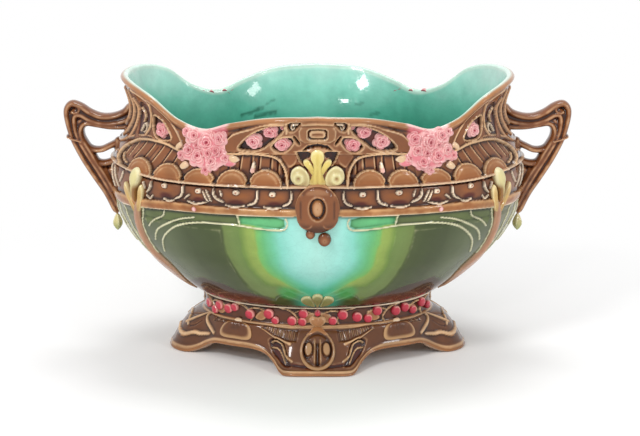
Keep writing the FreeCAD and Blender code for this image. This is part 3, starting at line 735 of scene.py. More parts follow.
# whiplash lines on the belly: points and width
WHIPLASH = (([(-28.6, 158.4), (-27.1, 153.3), (-32.6, 147.6), (-56.9, 148.6), (-72.8, 150.3),
              (-94.9, 150.6), (-112.3, 149.6), (-131.5, 145.6), (-144.7, 138.9), (-158.7, 127.8),
              (-168, 114)], 1.5), ([(-115.1, 154.2), (-130.2, 151), (-146.6, 144.6), (-161.6, 136.2),
                                    (-170.7, 125.3)], 1.4),
            ([(-147.6, 156), (-150.7, 150.9), (-162, 145.8), (-171.4, 138.6)], 1.3),
            ([(-72.8, 160.2), (-71.2, 151.6)], 1.3))
# lines that fall from under the handles
END_LINES = ([(-210.6, 153), (-203.6, 143), (-201.6, 132), (-202, 118), (-208, 96), (-222, 76)],
             [(-226, 152), (-216, 138), (-212, 118), (-220, 92), (-232, 74)],
             [(-240, 152), (-232, 136), (-232, 112)])


def band_marks(f):
    """The row of curls under the ledge, the plain moulding below it and the lines on the belly."""
    s, z = f.s, f.z
    a = np.abs(s)
    low = np.interp(-a, *BAND_LOW)
    band = ramp(-0.5, 0.5, z - low) * (z < 190)
    f.wash("brown", band)
    high = np.interp(a, (0, 142, 176, 252), (167, 166, 163, 160))
    body = np.clip(1 - np.abs((z - (low + high) / 2) / (high - low + 0.6) * 2) ** 2.4, 0, 1)
    f.h += 0.8 * band + 1.6 * body ** 0.6 * band
    f.wash("amber", ramp(0.05, 0.5, body) * band)
    f.h -= 1.5 * ramp(high, high + 1.2, z) * ramp(185, 183.8, z)
    # the pools of red at the foot of each bay
    for at, wide in ((-73, 10), (-38, 8), (-109, 7), (-144, 8)):
        q = np.hypot((a + at) / wide, (z - 170.4) / 3.6)
        f.dye(q < 1.2, "red", ramp(1.2, 0.5, q[q < 1.2]))
        q = np.hypot((a + at) / (wide + 2), (z - 177.5) / 3.6)
        f.dye(q < 1.2, "amber", 0.8 * ramp(1.2, 0.4, q[q < 1.2]))
    f.stroke([(-252, 152), (-200, 153.4), (-174, 155.4), (-142, 158.2), (-115, 159.2), (-63, 160.4),
              (-22, 160.8)], 1.3, 0.9, "cream", 0.9)
    for line in BAY_CURLS:
        f.stroke(line, 2.0, 2.2, "cream", 0.1, taper=0.45)
    for line in SMALL_CURLS:
        f.stroke(line, 1.6, 1.6, "cream", 0.1, taper=0.45)
    for at, up in ((-145.3, 179.9), (-109.3, 179), (-73.1, 180.4), (-40.1, 180)):
        f.dome((at, up), (3.0, 2.4), 2.0, "cream", -0.4)
        f.dome((at, up), (1.1, 0.9), 0.1, "red", 1.0)
    f.dome((-113.4, 162.6), (2.0, 2.2), 1.6, "pink", 1.8)
    for line in END_CURLS:
        f.stroke(line, 1.6, 1.8, "cream", -0.6, taper=0.4)
    # dark green between the moulding and the whiplash lines
    f.area([(-72.4, 151.6), (-106, 150.4), (-134, 146), (-150, 148), (-172, 140), (-175, 155), (-142, 158),
            (-115, 159), (-74, 160)], -0.3, "olive", bevel=1.2, smooth=False)
    f.tone[..., 0, :] = mix(f.tone[..., 0, :], glaze(46, 58, 40),
                            0.55 * ramp(4, 1.5, low - z) * ramp(0.2, 1.0, low - z) * ramp(72, 76, a)
                            * ramp(176, 172, a))
    f.area([(-70.6, 152.2), (-34.2, 148.8), (-29.6, 151), (-30, 157.4), (-40, 159.8), (-70.6, 159.4)], -0.5,
           "bright", bevel=1.8, smooth=False)
    for line, width in WHIPLASH:
        f.stroke(line, width, 1.1, "line", 0.0, taper=0.2)
    f.stroke([(-174.2, 156), (-177, 146.6), (-179.4, 138.4), (-181, 126), (-183, 110)], 1.3, 1.2, "line", 0.0)
    for line in END_LINES:
        f.stroke(line, 1.4, 1.0, "line", 0.0)
    # thrown rings show as faint steps where the glazes meet
    out = ring_reach(s, z)
    below = ramp(148, 144, z)
    for step_at, step in ((59, 0.25), (71.5, 0.3), (90, 0.5)):
        f.h += below * step * ramp(step_at - 0.9, step_at + 0.9, out)


def ring_reach(s, z):
    """How far out from the middle a spot counts for the rings of glaze, which draw in as they go down."""
    a = np.abs(s)
    draw = np.interp(a, (0, 45, 60, 95), (0.030, 0.028, 0.013, 0))
    return a + draw * np.clip(118 - z, 0, None) ** 2


def wall_relief(s, z, top):
    """Relief and glazes of the outside; top is the rim's height, or None below the seam."""
    f = Relief(s, z, "brown")
    lower = z < np.interp(-np.abs(s), *BAND_LOW)
    green = belly_colour(s, z)
    f.tone[lower, 0] = green[lower]
    f.tone[lower, 1] = GLAZE["line"][0]
    f.tone[lower, 2] = green[lower] * 0.4
    band_marks(f)
    if top is not None:
        shoulder_marks(f, top)
    return f


FLOOR, FLOOR_Z = (110, 68.2), 69.0      # half width, half depth and height of the inner floor
FOOT, FOOT_HOLE = (100, 57), (92, 49)   # half width and half depth of the foot ring and of its hollow
BASE_Z, FOOT_Z = 60, 39.4               # where the wall starts, and the foot's lower edge


def half_round(cell):
    """Places along the front half of the wall for a mesh with that cell, and the turn at each."""
    s = np.linspace(-END_S, END_S, int(2 * END_S / cell) // 2 * 2 + 1)
    t = turn_at(s)
    t[0], t[-1] = -math.pi / 2, math.pi / 2
    return s, t


def shoulder(back):
    """The wall from the seam to the rim, its rounded lip, and the inside down to the seam."""
    cell = 0.9 * coarse
    s, t = half_round(cell)
    top = rim_z(t) - LIP
    z = SEAM_Z + (top - SEAM_Z) * np.linspace(0, 1, int(SHOULDER_RUN / cell))[:, None]
    ss, tt = np.broadcast_to(s, z.shape), np.broadcast_to(t, z.shape)
    f = wall_relief(ss, z, top[None, :])
    outer = off_wall(OUTSIDE, tt, z, f.h)
    outer_colour = f.paint(cell)
    outer_colour *= (1 + 0.10 * clouds(ss, z * 0.3, 11, 21))[..., None]
    zi = top + (SEAM_Z - top) * np.linspace(0, 1, int(46 / coarse))[:, None] ** 1.2
    inner = oval(INSIDE, np.broadcast_to(t, zi.shape), zi)
    around = np.linspace(0, math.pi, 10)[1:-1]
    a, b = outer[-1], inner[0]
    lip = np.array([(a + b) / 2 + (a - b) / 2 * math.cos(x) + np.array([0, 0, LIP * 1.05]) * math.sin(x)
                    for x in around])
    inside = inside_colour(np.broadcast_to(s, zi.shape), zi, top - zi, back)
    blush = ramp(26, 20, np.abs(np.abs(s) - 110))
    edge = mix(np.tile(GLAZE["tan"][0] * 1.05, (len(s), 1)), GLAZE["pink"][1], blush)
    lip_colour = np.array([mix(edge, inside[0], np.full(len(s), float(ramp(0.9, 1.9, x)))) for x in around])
    points = np.concatenate([outer, lip, inner])
    colours = np.concatenate([outer_colour, lip_colour, inside])
    half_ring("wall_upper_" + SIDES[back], points, colours, back, material=shoulder_glaze, slot="bowl",
              body="jardiniere", replaced=["bowl", "cartouches", "scallops", "shoulder_frames"])


INNER_STOPS = (60, 150, 190, 215, 235, 252, 270)
INNER_COLOURS = (glaze(40, 116, 94), glaze(50, 138, 114), glaze(70, 160, 136), glaze(106, 188, 166),
                 glaze(138, 206, 188), glaze(172, 222, 208), glaze(204, 236, 226))
# painted shade on the inner back wall: runs of (s, z) points for dark patches
PAINTED_SHADE_PATCHES = (((-86, 206), (-74, 208.5), (-62, 212)), ((-70, 203.6), (-60, 205.4), (-48, 207)),
           ((44, 214), (52, 216)), ((60, 205), (70, 207)), ((-58, 216), (-50, 219)))


def inside_colour(s, z, drop, back):
    """Aqua glaze that runs darker and greener down the inside, with a few patches of painted shade on the
    inner back wall.
    """
    wander = z + 7 * clouds(s, z * 0.5, 26, 9) + 2.5 * clouds(s, z * 0.7, 7, 10)
    colour = along(wander, INNER_STOPS, INNER_COLOURS)
    if back:
        for i, line in enumerate(PAINTED_SHADE_PATCHES):
            d = gap_to(curve(line), s, z)[0] + 0.8 * clouds(s, z, 3, 50 + i)
            colour = mix(colour, glaze(34, 84, 66), ramp(2.4, 0.4, d) * (0.7 if i < 2 else 0.4))
    return mix(colour, glaze(214, 236, 222), ramp(3.0, 0.2, drop) * 0.7)


# ---- belly --------------------------------------------------------------------------------------
def belly_colour(s, z):
    """Rings of glaze round the middle of the front, green to olive outwards, and a brown puddle."""
    a = np.abs(s)
    reach = ring_reach(s, z) + 1.5 * clouds(s, z, 16, 5) + 0.6 * clouds(s, z, 5, 6)
    stops = (0, 22, 34, 42, 50, 57, 59.5, 66, 71, 72.5, 79, 88, 90.5, 100, 125, 150, 175, 215, 252)
    tones = (glaze(170, 224, 212), glaze(156, 220, 208), glaze(132, 208, 190), glaze(108, 192, 152),
             glaze(100, 180, 118), glaze(114, 180, 98), glaze(142, 168, 80), glaze(136, 158, 74),
             glaze(108, 136, 62), glaze(104, 128, 64), glaze(108, 130, 68), glaze(106, 124, 64),
             glaze(70, 82, 42), glaze(64, 76, 38), glaze(66, 76, 44), glaze(88, 98, 66),
             glaze(84, 92, 64), glaze(120, 118, 92), glaze(128, 122, 98))
    colour = along(reach, stops, tones)
    low = ramp(112, 70, z) * ramp(44, 12, a)
    colour = mix(colour, glaze(56, 174, 146), low * 0.8)
    lawn = ramp(0.9, 0.3, np.hypot((a - 38) / 20, (z - 80) / 12))
    colour = mix(colour, glaze(58, 160, 84), lawn * 0.7)
    deep = ramp(0.1, 0.8, clouds(s, z, 30, 8)) * 0.25 * ramp(30, 8, a)
    colour = mix(colour, glaze(86, 190, 170), deep)
    puddle = ramp(-2, 3, np.interp(a, (60, 80, 98, 113, 130, 147, 166, 190, 204),
                                   (71, 75, 78.5, 83, 87, 89.6, 84, 78, 70)) + 2.5 * clouds(s, z, 14, 7)
                  - z)
    puddle *= ramp(58, 84, a) * ramp(206, 186, a)
    colour = mix(colour, glaze(56, 30, 20), puddle * 0.94)
    colour = mix(colour, glaze(124, 62, 46), puddle * ramp(80, 66, z) * 0.6)
    ends = ramp(206, 216, a)
    return mix(colour, glaze(150, 146, 124), ends * ramp(0.2, 0.9, clouds(s, z * 0.4, 8, 61)) * 0.5)


def belly(back):
    """The wall below the seam with the inside, the inner floor and the foot."""
    cell = 0.95 * coarse
    s, t = half_round(cell)
    close, wide = np.linspace(BASE_Z, 92, int(44 / cell)), np.linspace(92, SEAM_Z, int(60 / cell))
    z = np.concatenate([close, wide[1:]])[:, None] + 0 * s
    ss, tt = np.broadcast_to(s, z.shape), np.broadcast_to(t, z.shape)
    f = wall_relief(ss, z, None)
    outer = off_wall(OUTSIDE, tt, z, f.h * ramp(60, 64, z))
    # painted shadow: the last few millimetres of the wall above its base are darkened, where the bowl sits
    # down in the collar
    colour = mix(f.paint(cell), glaze(38, 26, 20), ramp(66, 60.5, z) * 0.8)

    def ring(half_wide, half_deep, height):
        x = half_wide * np.sin(t)
        return np.stack([x, -half_deep * np.cos(t), height + 0 * x], -1)

    zi = (SEAM_Z + (FLOOR_Z + 0.5 - SEAM_Z) * np.linspace(0, 1, int(34 / coarse)) ** 0.9)[:, None] + 0 * s
    inner = oval(INSIDE, np.broadcast_to(t, zi.shape), zi)
    shares = np.linspace(1, 0.01, 14)[1:]
    floor = np.array([ring(FLOOR[0] * k, FLOOR[1] * k, FLOOR_Z) for k in shares])
    (a, b), (c, d) = FOOT_HOLE, FOOT
    under = np.array([ring(a * k, b * k, BASE_Z) for k in shares[::-1]])
    foot = np.array([ring(a, b, BASE_Z), ring(a, b, FOOT_Z + 0.6), ring(a + 0.6, b + 0.6, FOOT_Z),
                     ring(c - 0.6, d - 0.6, FOOT_Z), ring(c, d, FOOT_Z + 0.6), ring(c, d, BASE_Z - 1)])
    points = np.concatenate([inner, floor, under, foot, outer])
    bare = glaze(196, 170, 138)
    colours = np.concatenate([inside_colour(np.broadcast_to(s, zi.shape), zi, 60 + 0 * zi, back),
                              np.tile(glaze(50, 122, 102), (len(floor), len(s), 1)),
                              np.tile(bare, (len(under) + len(foot), len(s), 1)), colour])
    half_ring("wall_lower_" + SIDES[back], points, colours, back, material=belly_glaze, slot="bowl",
              body="jardiniere", replaced=["bowl"])


for back in (False, True):
    shoulder(back)
    belly(back)

# ---- separate relief on the body ----------------------------------------------------------------


def wall_spot(s, z):
    """A point on the wall and the way out of it."""
    s, z = np.array([float(s)]), np.array([float(z)])
    p, q = on_body(s, z, np.zeros(1))[0], on_body(s, z, np.ones(1))[0]
    return p, q - p


roses = Heap()
lobe(roses, on_body, [(-133, 228), (-127, 232), (-116, 231.2), (-106, 229.8), (-96, 230), (-88, 228),
                      (-88, 219), (-83, 209), (-90, 203), (-100, 198), (-110, 200), (-121, 205),
                      (-132, 207), (-129, 217)], 3.4, "pink", rings=10, flat=0.6)
# s, z, radius and height
ROSES = ((-131, 229.4, 5.6, 4.4), (-122.2, 226.0, 8.7, 6.4), (-107.6, 221.6, 11.2, 7.6),
         (-125.3, 214, 7.6, 6.0), (-113.9, 209, 9.6, 7.0), (-98.5, 205.4, 8.2, 6.2),
         (-93.6, 225.6, 8.0, 5.8), (-95.4, 216, 7.4, 6.6), (-131.6, 209, 5.4, 4.8), (-106, 227.6, 6.2, 5.2),
         (-86.4, 210, 6.0, 4.6), (-104, 198.6, 5.0, 4.6), (-117, 219, 6.0, 6.2), (-103.5, 212.6, 6.6, 6.8))
for i, (s, z, r, high) in enumerate(ROSES):
    for way in (1, -1):
        spot, out = wall_spot(s * way, z)
        lean = np.array([0.22 * math.sin(7 * i), 0, 0.10 + 0.15 * math.cos(5 * i)])
        rose(roses, spot + out * 0.3, out + lean, r, high, 100 + i * 2 + (way > 0))
for outline, name in (([(-84, 211), (-79, 206.5), (-73.4, 209.5), (-76, 212.4), (-81, 213.6)], "cream"),
                      ([(-88, 205), (-80, 203.5), (-76, 206.6), (-83, 208.6)], "pink"),
                      ([(-134, 217), (-139.6, 213), (-141, 217), (-137, 220.5)], "cream"),
                      ([(-122, 201), (-127, 197.4), (-131, 200), (-127, 204.6)], "cream")):
    lobe(roses, on_body, outline, 3.2, name, rings=6)
roses.make("rose_clusters", material=petal_glaze, slot="pink_relief", body="jardiniere", replaced=["roses"])

SMALL_ROSES = ((-61.6, 227.8, 8.8), (-45.6, 237.6, 7.4), (-33.6, 226.2, 8.2), (-33.4, 242.4, 2.4),
               (-163, 228.4, 7.6))

rosettes = Heap()
for i, (s, z, r) in enumerate(SMALL_ROSES):
    for way in (1, -1):
        spot, out = wall_spot(s * way, z)
        rose(rosettes, spot - out * 2.2, out, r, 5.8 if r > 3 else 4.8, 200 + i * 2 + (way > 0), sink=0.8)
rosettes.make("small_roses", material=petal_glaze, slot="pink_relief", body="jardiniere",
              replaced=["cartouche_rosettes"])

palmettes = Heap()


def leaf(u, v, r):
    """Paler towards the edge and darker towards the foot."""
    return 0 * u, 0.25 * ramp(0.5, 0.9, r) - 0.35 * ramp(208, 200, v)


def volute(u, v, r):
    """The round eye of a side leaf, and shade towards its foot."""
    d = np.hypot(np.abs(u) - 17, v - 196)
    eye = np.exp(-(d / 1.7) ** 2)
    ring = np.exp(-((d - 3.8) / 1.0) ** 2)
    foot = ramp(197, 190, v)
    shade = np.exp(-((d - 7.2) / 2.2) ** 2)
    return (0.8 * ring - 1.8 * eye - 0.5 * shade,
            0.35 * ring - 0.9 * eye - 0.35 * shade - 0.4 * foot + 0.2 * ramp(0.6, 0.95, r))


def fluted(u, v, r):
    """A groove up the middle leaf, darker towards its foot."""
    groove = np.exp(-(u / 1.3) ** 2) * ramp(222, 214, v)
    foot = ramp(208, 192, v)
    waist = ramp(2.0, 4.2, np.abs(u)) * ramp(212, 204, v)
    return -0.8 * groove, 0.15 - 0.28 * groove - 0.32 * foot - 0.3 * waist


lobe(palmettes, on_body, [(-13, 189.5), (-20, 190.5), (-24, 196), (-23, 203), (-17.5, 206.6), (-12, 204.4),
                          (-8, 199.5), (-6.5, 193), (-8.6, 189.5)], 4.2, "bulb", marks=volute, rings=14)
lobe(palmettes, on_body, [(-4.6, 199), (-8.4, 204), (-12.4, 208.4), (-12.8, 211.8), (-9.4, 212.8),
                          (-5.8, 209.4), (-3, 203)], 4.2, "yellow", rings=9, marks=leaf)
lobe(palmettes, on_body, [(-7.4, 191), (-5.6, 197), (-3.8, 203), (-4.0, 209), (-6.2, 214), (-5.2, 220),
                          (0, 222.6), (5.2, 220), (6.2, 214), (4.0, 209), (3.8, 203), (5.6, 197),
                          (7.4, 191), (0, 189.5)], 5.4, "yellow", mirrored=False, rings=14, marks=fluted)
palmettes.make("palmette_leaves", material=relief_glaze, slot="yellow_relief", body="jardiniere",
               replaced=["palmettes"])

medallions = Heap()


def shield(u, v, r):
    """The domed cap, the oval seat in its dark groove, and the scalloped foot of the shield, with a painted
    highlight along the top of the cap.
    """
    q = np.hypot(u / 7.6, (v - 169.6) / 10.6)
    ring = np.exp(-((q - 1.02) / 0.11) ** 2)
    sunk = ramp(0.98, 0.84, q)
    cap = np.hypot(u / 15.5, (v - 181) / 9.6)
    brow = np.exp(-((cap - 1.0) / 0.09) ** 2) * ramp(179, 183, v)
    under = np.exp(-((cap - 0.80) / 0.09) ** 2) * ramp(180, 183, v)
    side = np.exp(-((np.abs(u) - 14.6) / 0.9) ** 2) * ramp(178, 174, v) * ramp(158, 162, v)
    foot = ramp(158, 150, v)
    lobed = np.hypot((np.abs(u) - 10.5) / 5.5, (v - 156) / 5.0)
    scallop = np.exp(-((lobed - 1) / 0.14) ** 2) * ramp(156, 153, v)
    h = 0.9 * ring - 2.4 * sunk + 1.0 * brow - 0.9 * under - 0.8 * side - 0.9 * foot + 0.9 * scallop
    # the brow, a raised rim, and the upper part of the cap are paler as a painted highlight along the top of
    # the cap
    tone = (0.5 * ring - 1.0 * sunk + 0.55 * brow - 0.55 * under - 0.6 * side - 0.75 * foot + 0.9 * scallop
            + 0.25 * ramp(1.0, 0.6, cap) * ramp(181, 184, v))
    return h, tone


lobe(medallions, on_body, [(0, 191.8), (-7, 190.6), (-12.6, 185), (-17, 179), (-19.6, 170), (-18.6, 162),
                           (-17.6, 156.5), (-14, 151), (-8, 147.8), (0, 146.2), (8, 147.8), (14, 151),
                           (17.6, 156.5), (18.6, 162), (19.6, 170), (17, 179), (12.6, 185), (7, 190.6)],
     6.6, "brown", rings=34, flat=0.35, marks=shield, edge=0.97, mirrored=False)
medallions.make("medallion_shields", material=relief_glaze, slot="brown_relief", body="jardiniere",
                replaced=["medallions"])

cabochons = Heap()


def bezel(u, v, r):
    """A low ring near the edge, pale inside and darker outside."""
    return 0.5 * np.exp(-((r - 0.72) / 0.1) ** 2), 0.35 * ramp(0.9, 0.3, r) - 0.3 * ramp(0.8, 1.0, r)


lobe(cabochons, on_body, circle(0, 169.6, 5.2, 8.2),
     8.0, "tan", rings=10, edge=0.97, mirrored=False, marks=bezel)
cabochons.make("oval_bosses", material=relief_glaze, slot="brown_relief", body="jardiniere",
               replaced=["cabochons"])

drops = Heap()


def ball(u, v, r):
    """Paler on top and darker round the side."""
    return 0 * u, 0.3 * ramp(0.6, 0.1, r) - 0.5 * ramp(0.5, 1.0, r)


for s, z, r in ((6.4, 140.0, 6.0), (-6.5, 144.6, 4.2)):
    lobe(drops, on_body, circle(s, z, r, r), r * 0.95, "brown", rings=9, mirrored=False, edge=NO_EDGE,
         marks=ball)
drops.make("hanging_berries", material=relief_glaze, slot="brown_relief", body="jardiniere",
           replaced=["medallion_berries"])

stems = Heap()


def sheath(u, v, r):
    """Pale bulb that darkens to brown round its neck."""
    neck = ramp(180, 172, v)
    return 0 * u, 0.25 * ramp(184, 190, v) - 0.8 * neck * ramp(0.2, 0.8, r) - 0.25 * neck


def leaflet(u, v, r):
    """Yellow-cream at the tip, browner down the blade."""
    tone = 0.5 * ramp(166, 178, v) + 0.3 * ramp(0.7, 0.95, r) - 0.55 * ramp(164, 150, v)
    return -0.5 * np.exp(-((r - 0.35) / 0.2) ** 2), tone


def rib(u, v, r):
    """A pale rib with brown sides."""
    return 0.3 * ramp(0.6, 0.2, r), 0.35 * ramp(0.5, 0.1, r) - 0.45 * ramp(0.6, 1.0, r)


lobe(stems, on_body, [(-179.8, 163), (-182.6, 160), (-186.6, 154), (-188.2, 146), (-188.4, 134),
                      (-189.4, 122), (-189, 108), (-190, 94), (-200, 82), (-211, 72), (-216, 67),
                      (-209, 67), (-203, 74), (-193, 82), (-185.4, 92), (-183.8, 106), (-183.8, 122),
                      (-181.8, 134), (-180, 146), (-178.6, 156)], 4.6, "pinkbrown", rings=8, marks=rib)
lobe(stems, on_body, [(-196.4, 175.6), (-198, 171), (-195.4, 164), (-190.4, 155.4), (-185.6, 147),
                      (-184.4, 152), (-187.6, 160), (-190.4, 167.6), (-193.2, 173.6)], 4.4, "leaflet",
     rings=9, marks=leaflet)
lobe(stems, on_body, [(-171.6, 177), (-169.8, 172.6), (-172, 165), (-176, 156), (-181.4, 148.6),
                      (-181.8, 154), (-178, 162), (-176, 169), (-174, 175.4)], 4.4, "leaflet", rings=9,
     marks=leaflet)
lobe(stems, on_body, [(-178.6, 192.4), (-182.8, 190), (-184.6, 184), (-183.2, 178), (-181.6, 172),
                      (-182.4, 164), (-181, 160), (-179, 165), (-177.6, 172), (-174.8, 178), (-173.2, 184),
                      (-174.6, 190)], 7.6, "bulb", rings=12, marks=sheath)
stems.make("calyx_stems", material=relief_glaze, slot="yellow_relief", body="jardiniere",
           replaced=["corner_stems"])

trefoils = Heap()
lobe(trefoils, on_body, [(0, 62), (-2.6, 66), (-6.4, 72), (-6.8, 76), (-3.4, 78.4), (0, 79), (3.4, 78.4),
                         (6.8, 76), (6.4, 72), (2.6, 66)], 3.8, "trefoil", mirrored=False)
lobe(trefoils, on_body, [(-4, 64), (-10, 64.6), (-17, 66), (-23, 70.4), (-21, 74.4), (-14.6, 76.4),
                         (-9, 75), (-6, 69.6)], 3.4, "trefoil")
trefoils.make("trefoil_leaves", material=relief_glaze, slot="green_relief", body="jardiniere",
              replaced=["trefoils"])

# ---- handles ------------------------------------------------------------------------------------
TUBE_AROUND = 20


def tube(path, rn, deep):
    """A closed tube along a line in X and Z; rn is its radius in that plane and deep its reach in Y."""
    line = curve(path, per=6)
    step = np.gradient(line, axis=0)
    step /= np.linalg.norm(step, axis=1)[:, None]
    normal = np.stack([-step[:, 1], step[:, 0]], 1)
    n, around = len(line), np.linspace(0, 2 * math.pi, TUBE_AROUND, endpoint=False)
    end = np.minimum(np.arange(n), np.arange(n)[::-1]) / 2.0
    full = np.sqrt(np.clip(1 - (1 - np.clip(end, 0, 1)) ** 2, 0.04, 1))[:, None]
    c, d = np.cos(around)[None] * rn * full, np.sin(around)[None] * deep(line[:, 1])[:, None] * full
    verts = np.stack([line[:, :1] + normal[:, :1] * c, d, line[:, 1:] + normal[:, 1:] * c], -1).reshape(-1, 3)
    ring = np.arange(TUBE_AROUND)
    faces = [loop_faces(n, TUBE_AROUND, wrap_cols=True, wrap_rows=False), ring[::-1],
             (n - 1) * TUBE_AROUND + ring]
    return verts, faces


def strap_depth(z):
    """Half depth of the handle at height z."""
    return np.interp(z, (115, 190, 215, 245), (5.4, 8.8, 9.4, 7.2))


def remeshed(verts, faces, cell, rounds=3):
    """The outside of overlapping closed shells as one even mesh."""
    mesh = bpy.data.meshes.new("strands")
    rows = [r for f in faces for r in np.atleast_2d(f).tolist()]
    mesh.from_pydata((verts * MM).tolist(), [], rows)
    obj = bpy.data.objects.new("strands", mesh)
    bpy.context.scene.collection.objects.link(obj)
    even = obj.modifiers.new("even", "REMESH")
    even.mode, even.voxel_size = "VOXEL", cell * MM
    bpy.context.view_layer.update()
    shown = obj.evaluated_get(bpy.context.evaluated_depsgraph_get())
    found = shown.to_mesh()
    p = np.array([v.co for v in found.vertices]) / MM
    quads = [tuple(f.vertices) for f in found.polygons]
    edges = np.array([e.vertices[:] for e in found.edges])
    shown.to_mesh_clear()
    bpy.data.objects.remove(obj)
    bpy.data.meshes.remove(mesh)
    sizes = {}
    for q in quads:
        sizes.setdefault(len(q), []).append(q)
    return evened(p, edges, rounds), edges, [np.array(f) for f in sizes.values()]


def evened(p, edges, rounds):
    """Each point drawn towards the mean of its neighbours."""
    for _ in range(rounds):
        total, count = np.zeros_like(p), np.zeros(len(p))
        for a, b in ((0, 1), (1, 0)):
            np.add.at(total, edges[:, a], p[edges[:, b]])
            np.add.at(count, edges[:, a], 1)
        p = p + 0.6 * (total / count[:, None] - p)
    return p


def worn(p, edges, faces, name, near=6, wide=30):
    """Glaze colours for a free mesh: pale on its ridges and dark in its furrows."""
    normal = np.zeros_like(p)
    for f in faces:
        n = np.cross(p[f[:, 2]] - p[f[:, 0]], p[f[:, -1]] - p[f[:, 1]])
        for k in range(f.shape[1]):
            np.add.at(normal, f[:, k], n)
    normal /= np.linalg.norm(normal, axis=1)[:, None] + 1e-9
    fine = ((p - evened(p, edges, near)) * normal).sum(1)
    broad = ((p - evened(p, edges, wide)) * normal).sum(1)
    mid, pale, dark = GLAZE[name]
    drift = 0.05 * clouds(p[:, 0] + p[:, 1], p[:, 2], 5, 30)
    colour = mix(mid + 0 * p, pale, ramp(0.04, 0.26, fine + drift) * 0.85)
    return mix(colour, dark, ramp(-0.05, 0.42, -(broad * 0.7 + fine)) * 0.95)


STRANDS = (((-174, 237), (-181, 229.5), (-192, 225.6), (-203, 225.6), (-213, 229.6), (-221, 235),
            (-229, 237.6), (-233.6, 233.5), (-234.2, 226), (-231.5, 213), (-228.4, 203), (-219.8, 185),
            (-209, 167), (-199, 151), (-190, 131)),
           ((-170, 228), (-181, 221.5), (-193, 219.2), (-204, 219.6), (-213, 222.6), (-221, 227),
            (-226.5, 226), (-227, 217), (-224, 205), (-215, 188), (-205, 171), (-196, 154), (-187, 135)),
           ((-168, 217.5), (-183, 216.2), (-195, 216.4), (-207, 218.3), (-216.5, 219.4), (-221.4, 214),
            (-220.5, 205), (-213.5, 193), (-209, 184), (-199, 168), (-190, 150)), )
BARS = ((((-221, 202), (-213, 195), (-204, 193.8), (-196, 197), (-188, 201), (-178, 205.5), (-166, 208)),
         3.1, 0.85), (((-214, 187), (-207, 181.6), (-199, 181), (-190, 184.5), (-182, 190)), 3.4, 0.85),
        (((-187, 206), (-187.5, 196), (-188, 184), (-188, 172)), 3.6, 0.9),
        (((-203, 178), (-196, 166), (-190, 152), (-184, 136)), 4.4, 0.8),
        (((-196, 178), (-190, 166), (-186, 152)), 4.6, 0.8),
        (((-236, 207.5), (-228, 204.5), (-217.5, 201.5)), 1.7, 1.12),
        (((-223, 236.5), (-222.6, 231), (-227.5, 229.4), (-230, 231.5)), 1.9, 0.95), )


def evenly(path, count):
    """That many points evenly along a smooth line."""
    line = curve(path, per=8)
    far = np.concatenate([[0], np.cumsum(np.hypot(*np.diff(line, axis=0).T))])
    at = np.linspace(0, far[-1], count)
    return np.stack([np.interp(at, far, line[:, i]) for i in range(2)], 1)


def strap():
    """The left handle: three round strands, webs between them, and the bars to the wall."""
    shells = [(path, 3.3, 1.0) for path in STRANDS] + list(BARS)
    for a, b in zip(STRANDS, STRANDS[1:]):
        shells.append(((evenly(a, 16) + evenly(b, 16)) / 2, 3.2, 0.74))
    verts, faces, count = [], [], 0
    for path, rn, share in shells:
        v, f = tube(path, rn, lambda z: strap_depth(z) * share)
        verts.append(v)
        faces += [np.atleast_2d(x) + count for x in f]
        count += len(v)
    return remeshed(np.vstack(verts), faces, 0.75 * coarse)


BUD_AROUND, BUD_DOWN = 30, 16           # points round a bud and from its top to its tip
strap_mesh, strap_edges, strap_faces = strap()
strap_colours = worn(strap_mesh, strap_edges, strap_faces, "brown")
strap_colours *= (1 + 0.10 * clouds(strap_mesh[:, 0], strap_mesh[:, 2], 9, 33))[:, None]
for side, way in (("left", 1), ("right", -1)):
    make(f"strap_{side}", strap_mesh * (way, 1, 1), strap_faces, strap_colours, relief_glaze, "brown_relief",
         "jardiniere", [f"handle_{side}"], sharp=0)
    bud = Heap()
    turns, down = np.linspace(0, 2 * math.pi, BUD_AROUND, endpoint=False), np.linspace(0, 1, BUD_DOWN)
    radius = np.interp(down, (0, 0.15, 0.45, 0.65, 0.85, 1), (1.2, 2.6, 4.4, 4.3, 2.6, 0.4))
    r = radius[:, None] * (1 + 0.10 * np.cos(5 * turns))
    x, y = -190.5 + r * np.cos(turns), r * np.sin(turns)
    p = np.stack([x, y, 131 - 16 * down[:, None] + 0 * x], -1)
    green = mix(GLAZE["bulb"][0] + 0 * p, GLAZE["bulb"][1], ramp(0.4, 1.0, np.cos(5 * turns)) + 0 * x)
    green = mix(green, glaze(120, 140, 60), ramp(0.2, 0.9, down[:, None] + 0 * x) * 0.6)
    bud.add(p.reshape(-1, 3) * (way, 1, 1),
            [loop_faces(BUD_DOWN, BUD_AROUND, wrap_cols=True, wrap_rows=False), np.arange(BUD_AROUND)[::-1],
             (BUD_DOWN - 1) * BUD_AROUND + np.arange(BUD_AROUND)],
            green.reshape(-1, 3))
    bud.make(f"bud_{side}", back=False, material=relief_glaze, slot="green_relief", body="jardiniere",
             replaced=[f"handle_bud_{side}"])

# ---- stand --------------------------------------------------------------------------------------
# half outline of the foot from the middle of the front to the left end: x, y and height of the edge
OUTLINE = ((0, 91.5, 0), (18, 91.5, 0), (29, 90.2, 0), (35, 85.5, 2), (40.5, 76.5, 8), (48, 68, 13.5),
           (57, 63, 16), (67, 58.6, 16.6), (78, 54, 16.6), (88, 48.6, 16.4), (97, 42, 15.5),
           (105, 34.6, 11), (114, 29.2, 5), (124, 25.6, 1), (133, 20.6, 0), (140, 11.6, 0), (142.6, 0, 0))
edge_line = curve([(-x, y, z) for x, y, z in reversed(OUTLINE[1:])] + list(OUTLINE),
                  per=14)[::-1] * (-1, 1, 1)
edge_far = np.concatenate([[0], np.cumsum(np.hypot(*np.diff(edge_line[:, :2], axis=0).T))])
edge_far -= edge_far[-1] / 2
FOOT_END = edge_far[-1]
PLINTH_Z = 39.0
COLLAR = (109.0, 66.0)          # half width and half depth of the collar


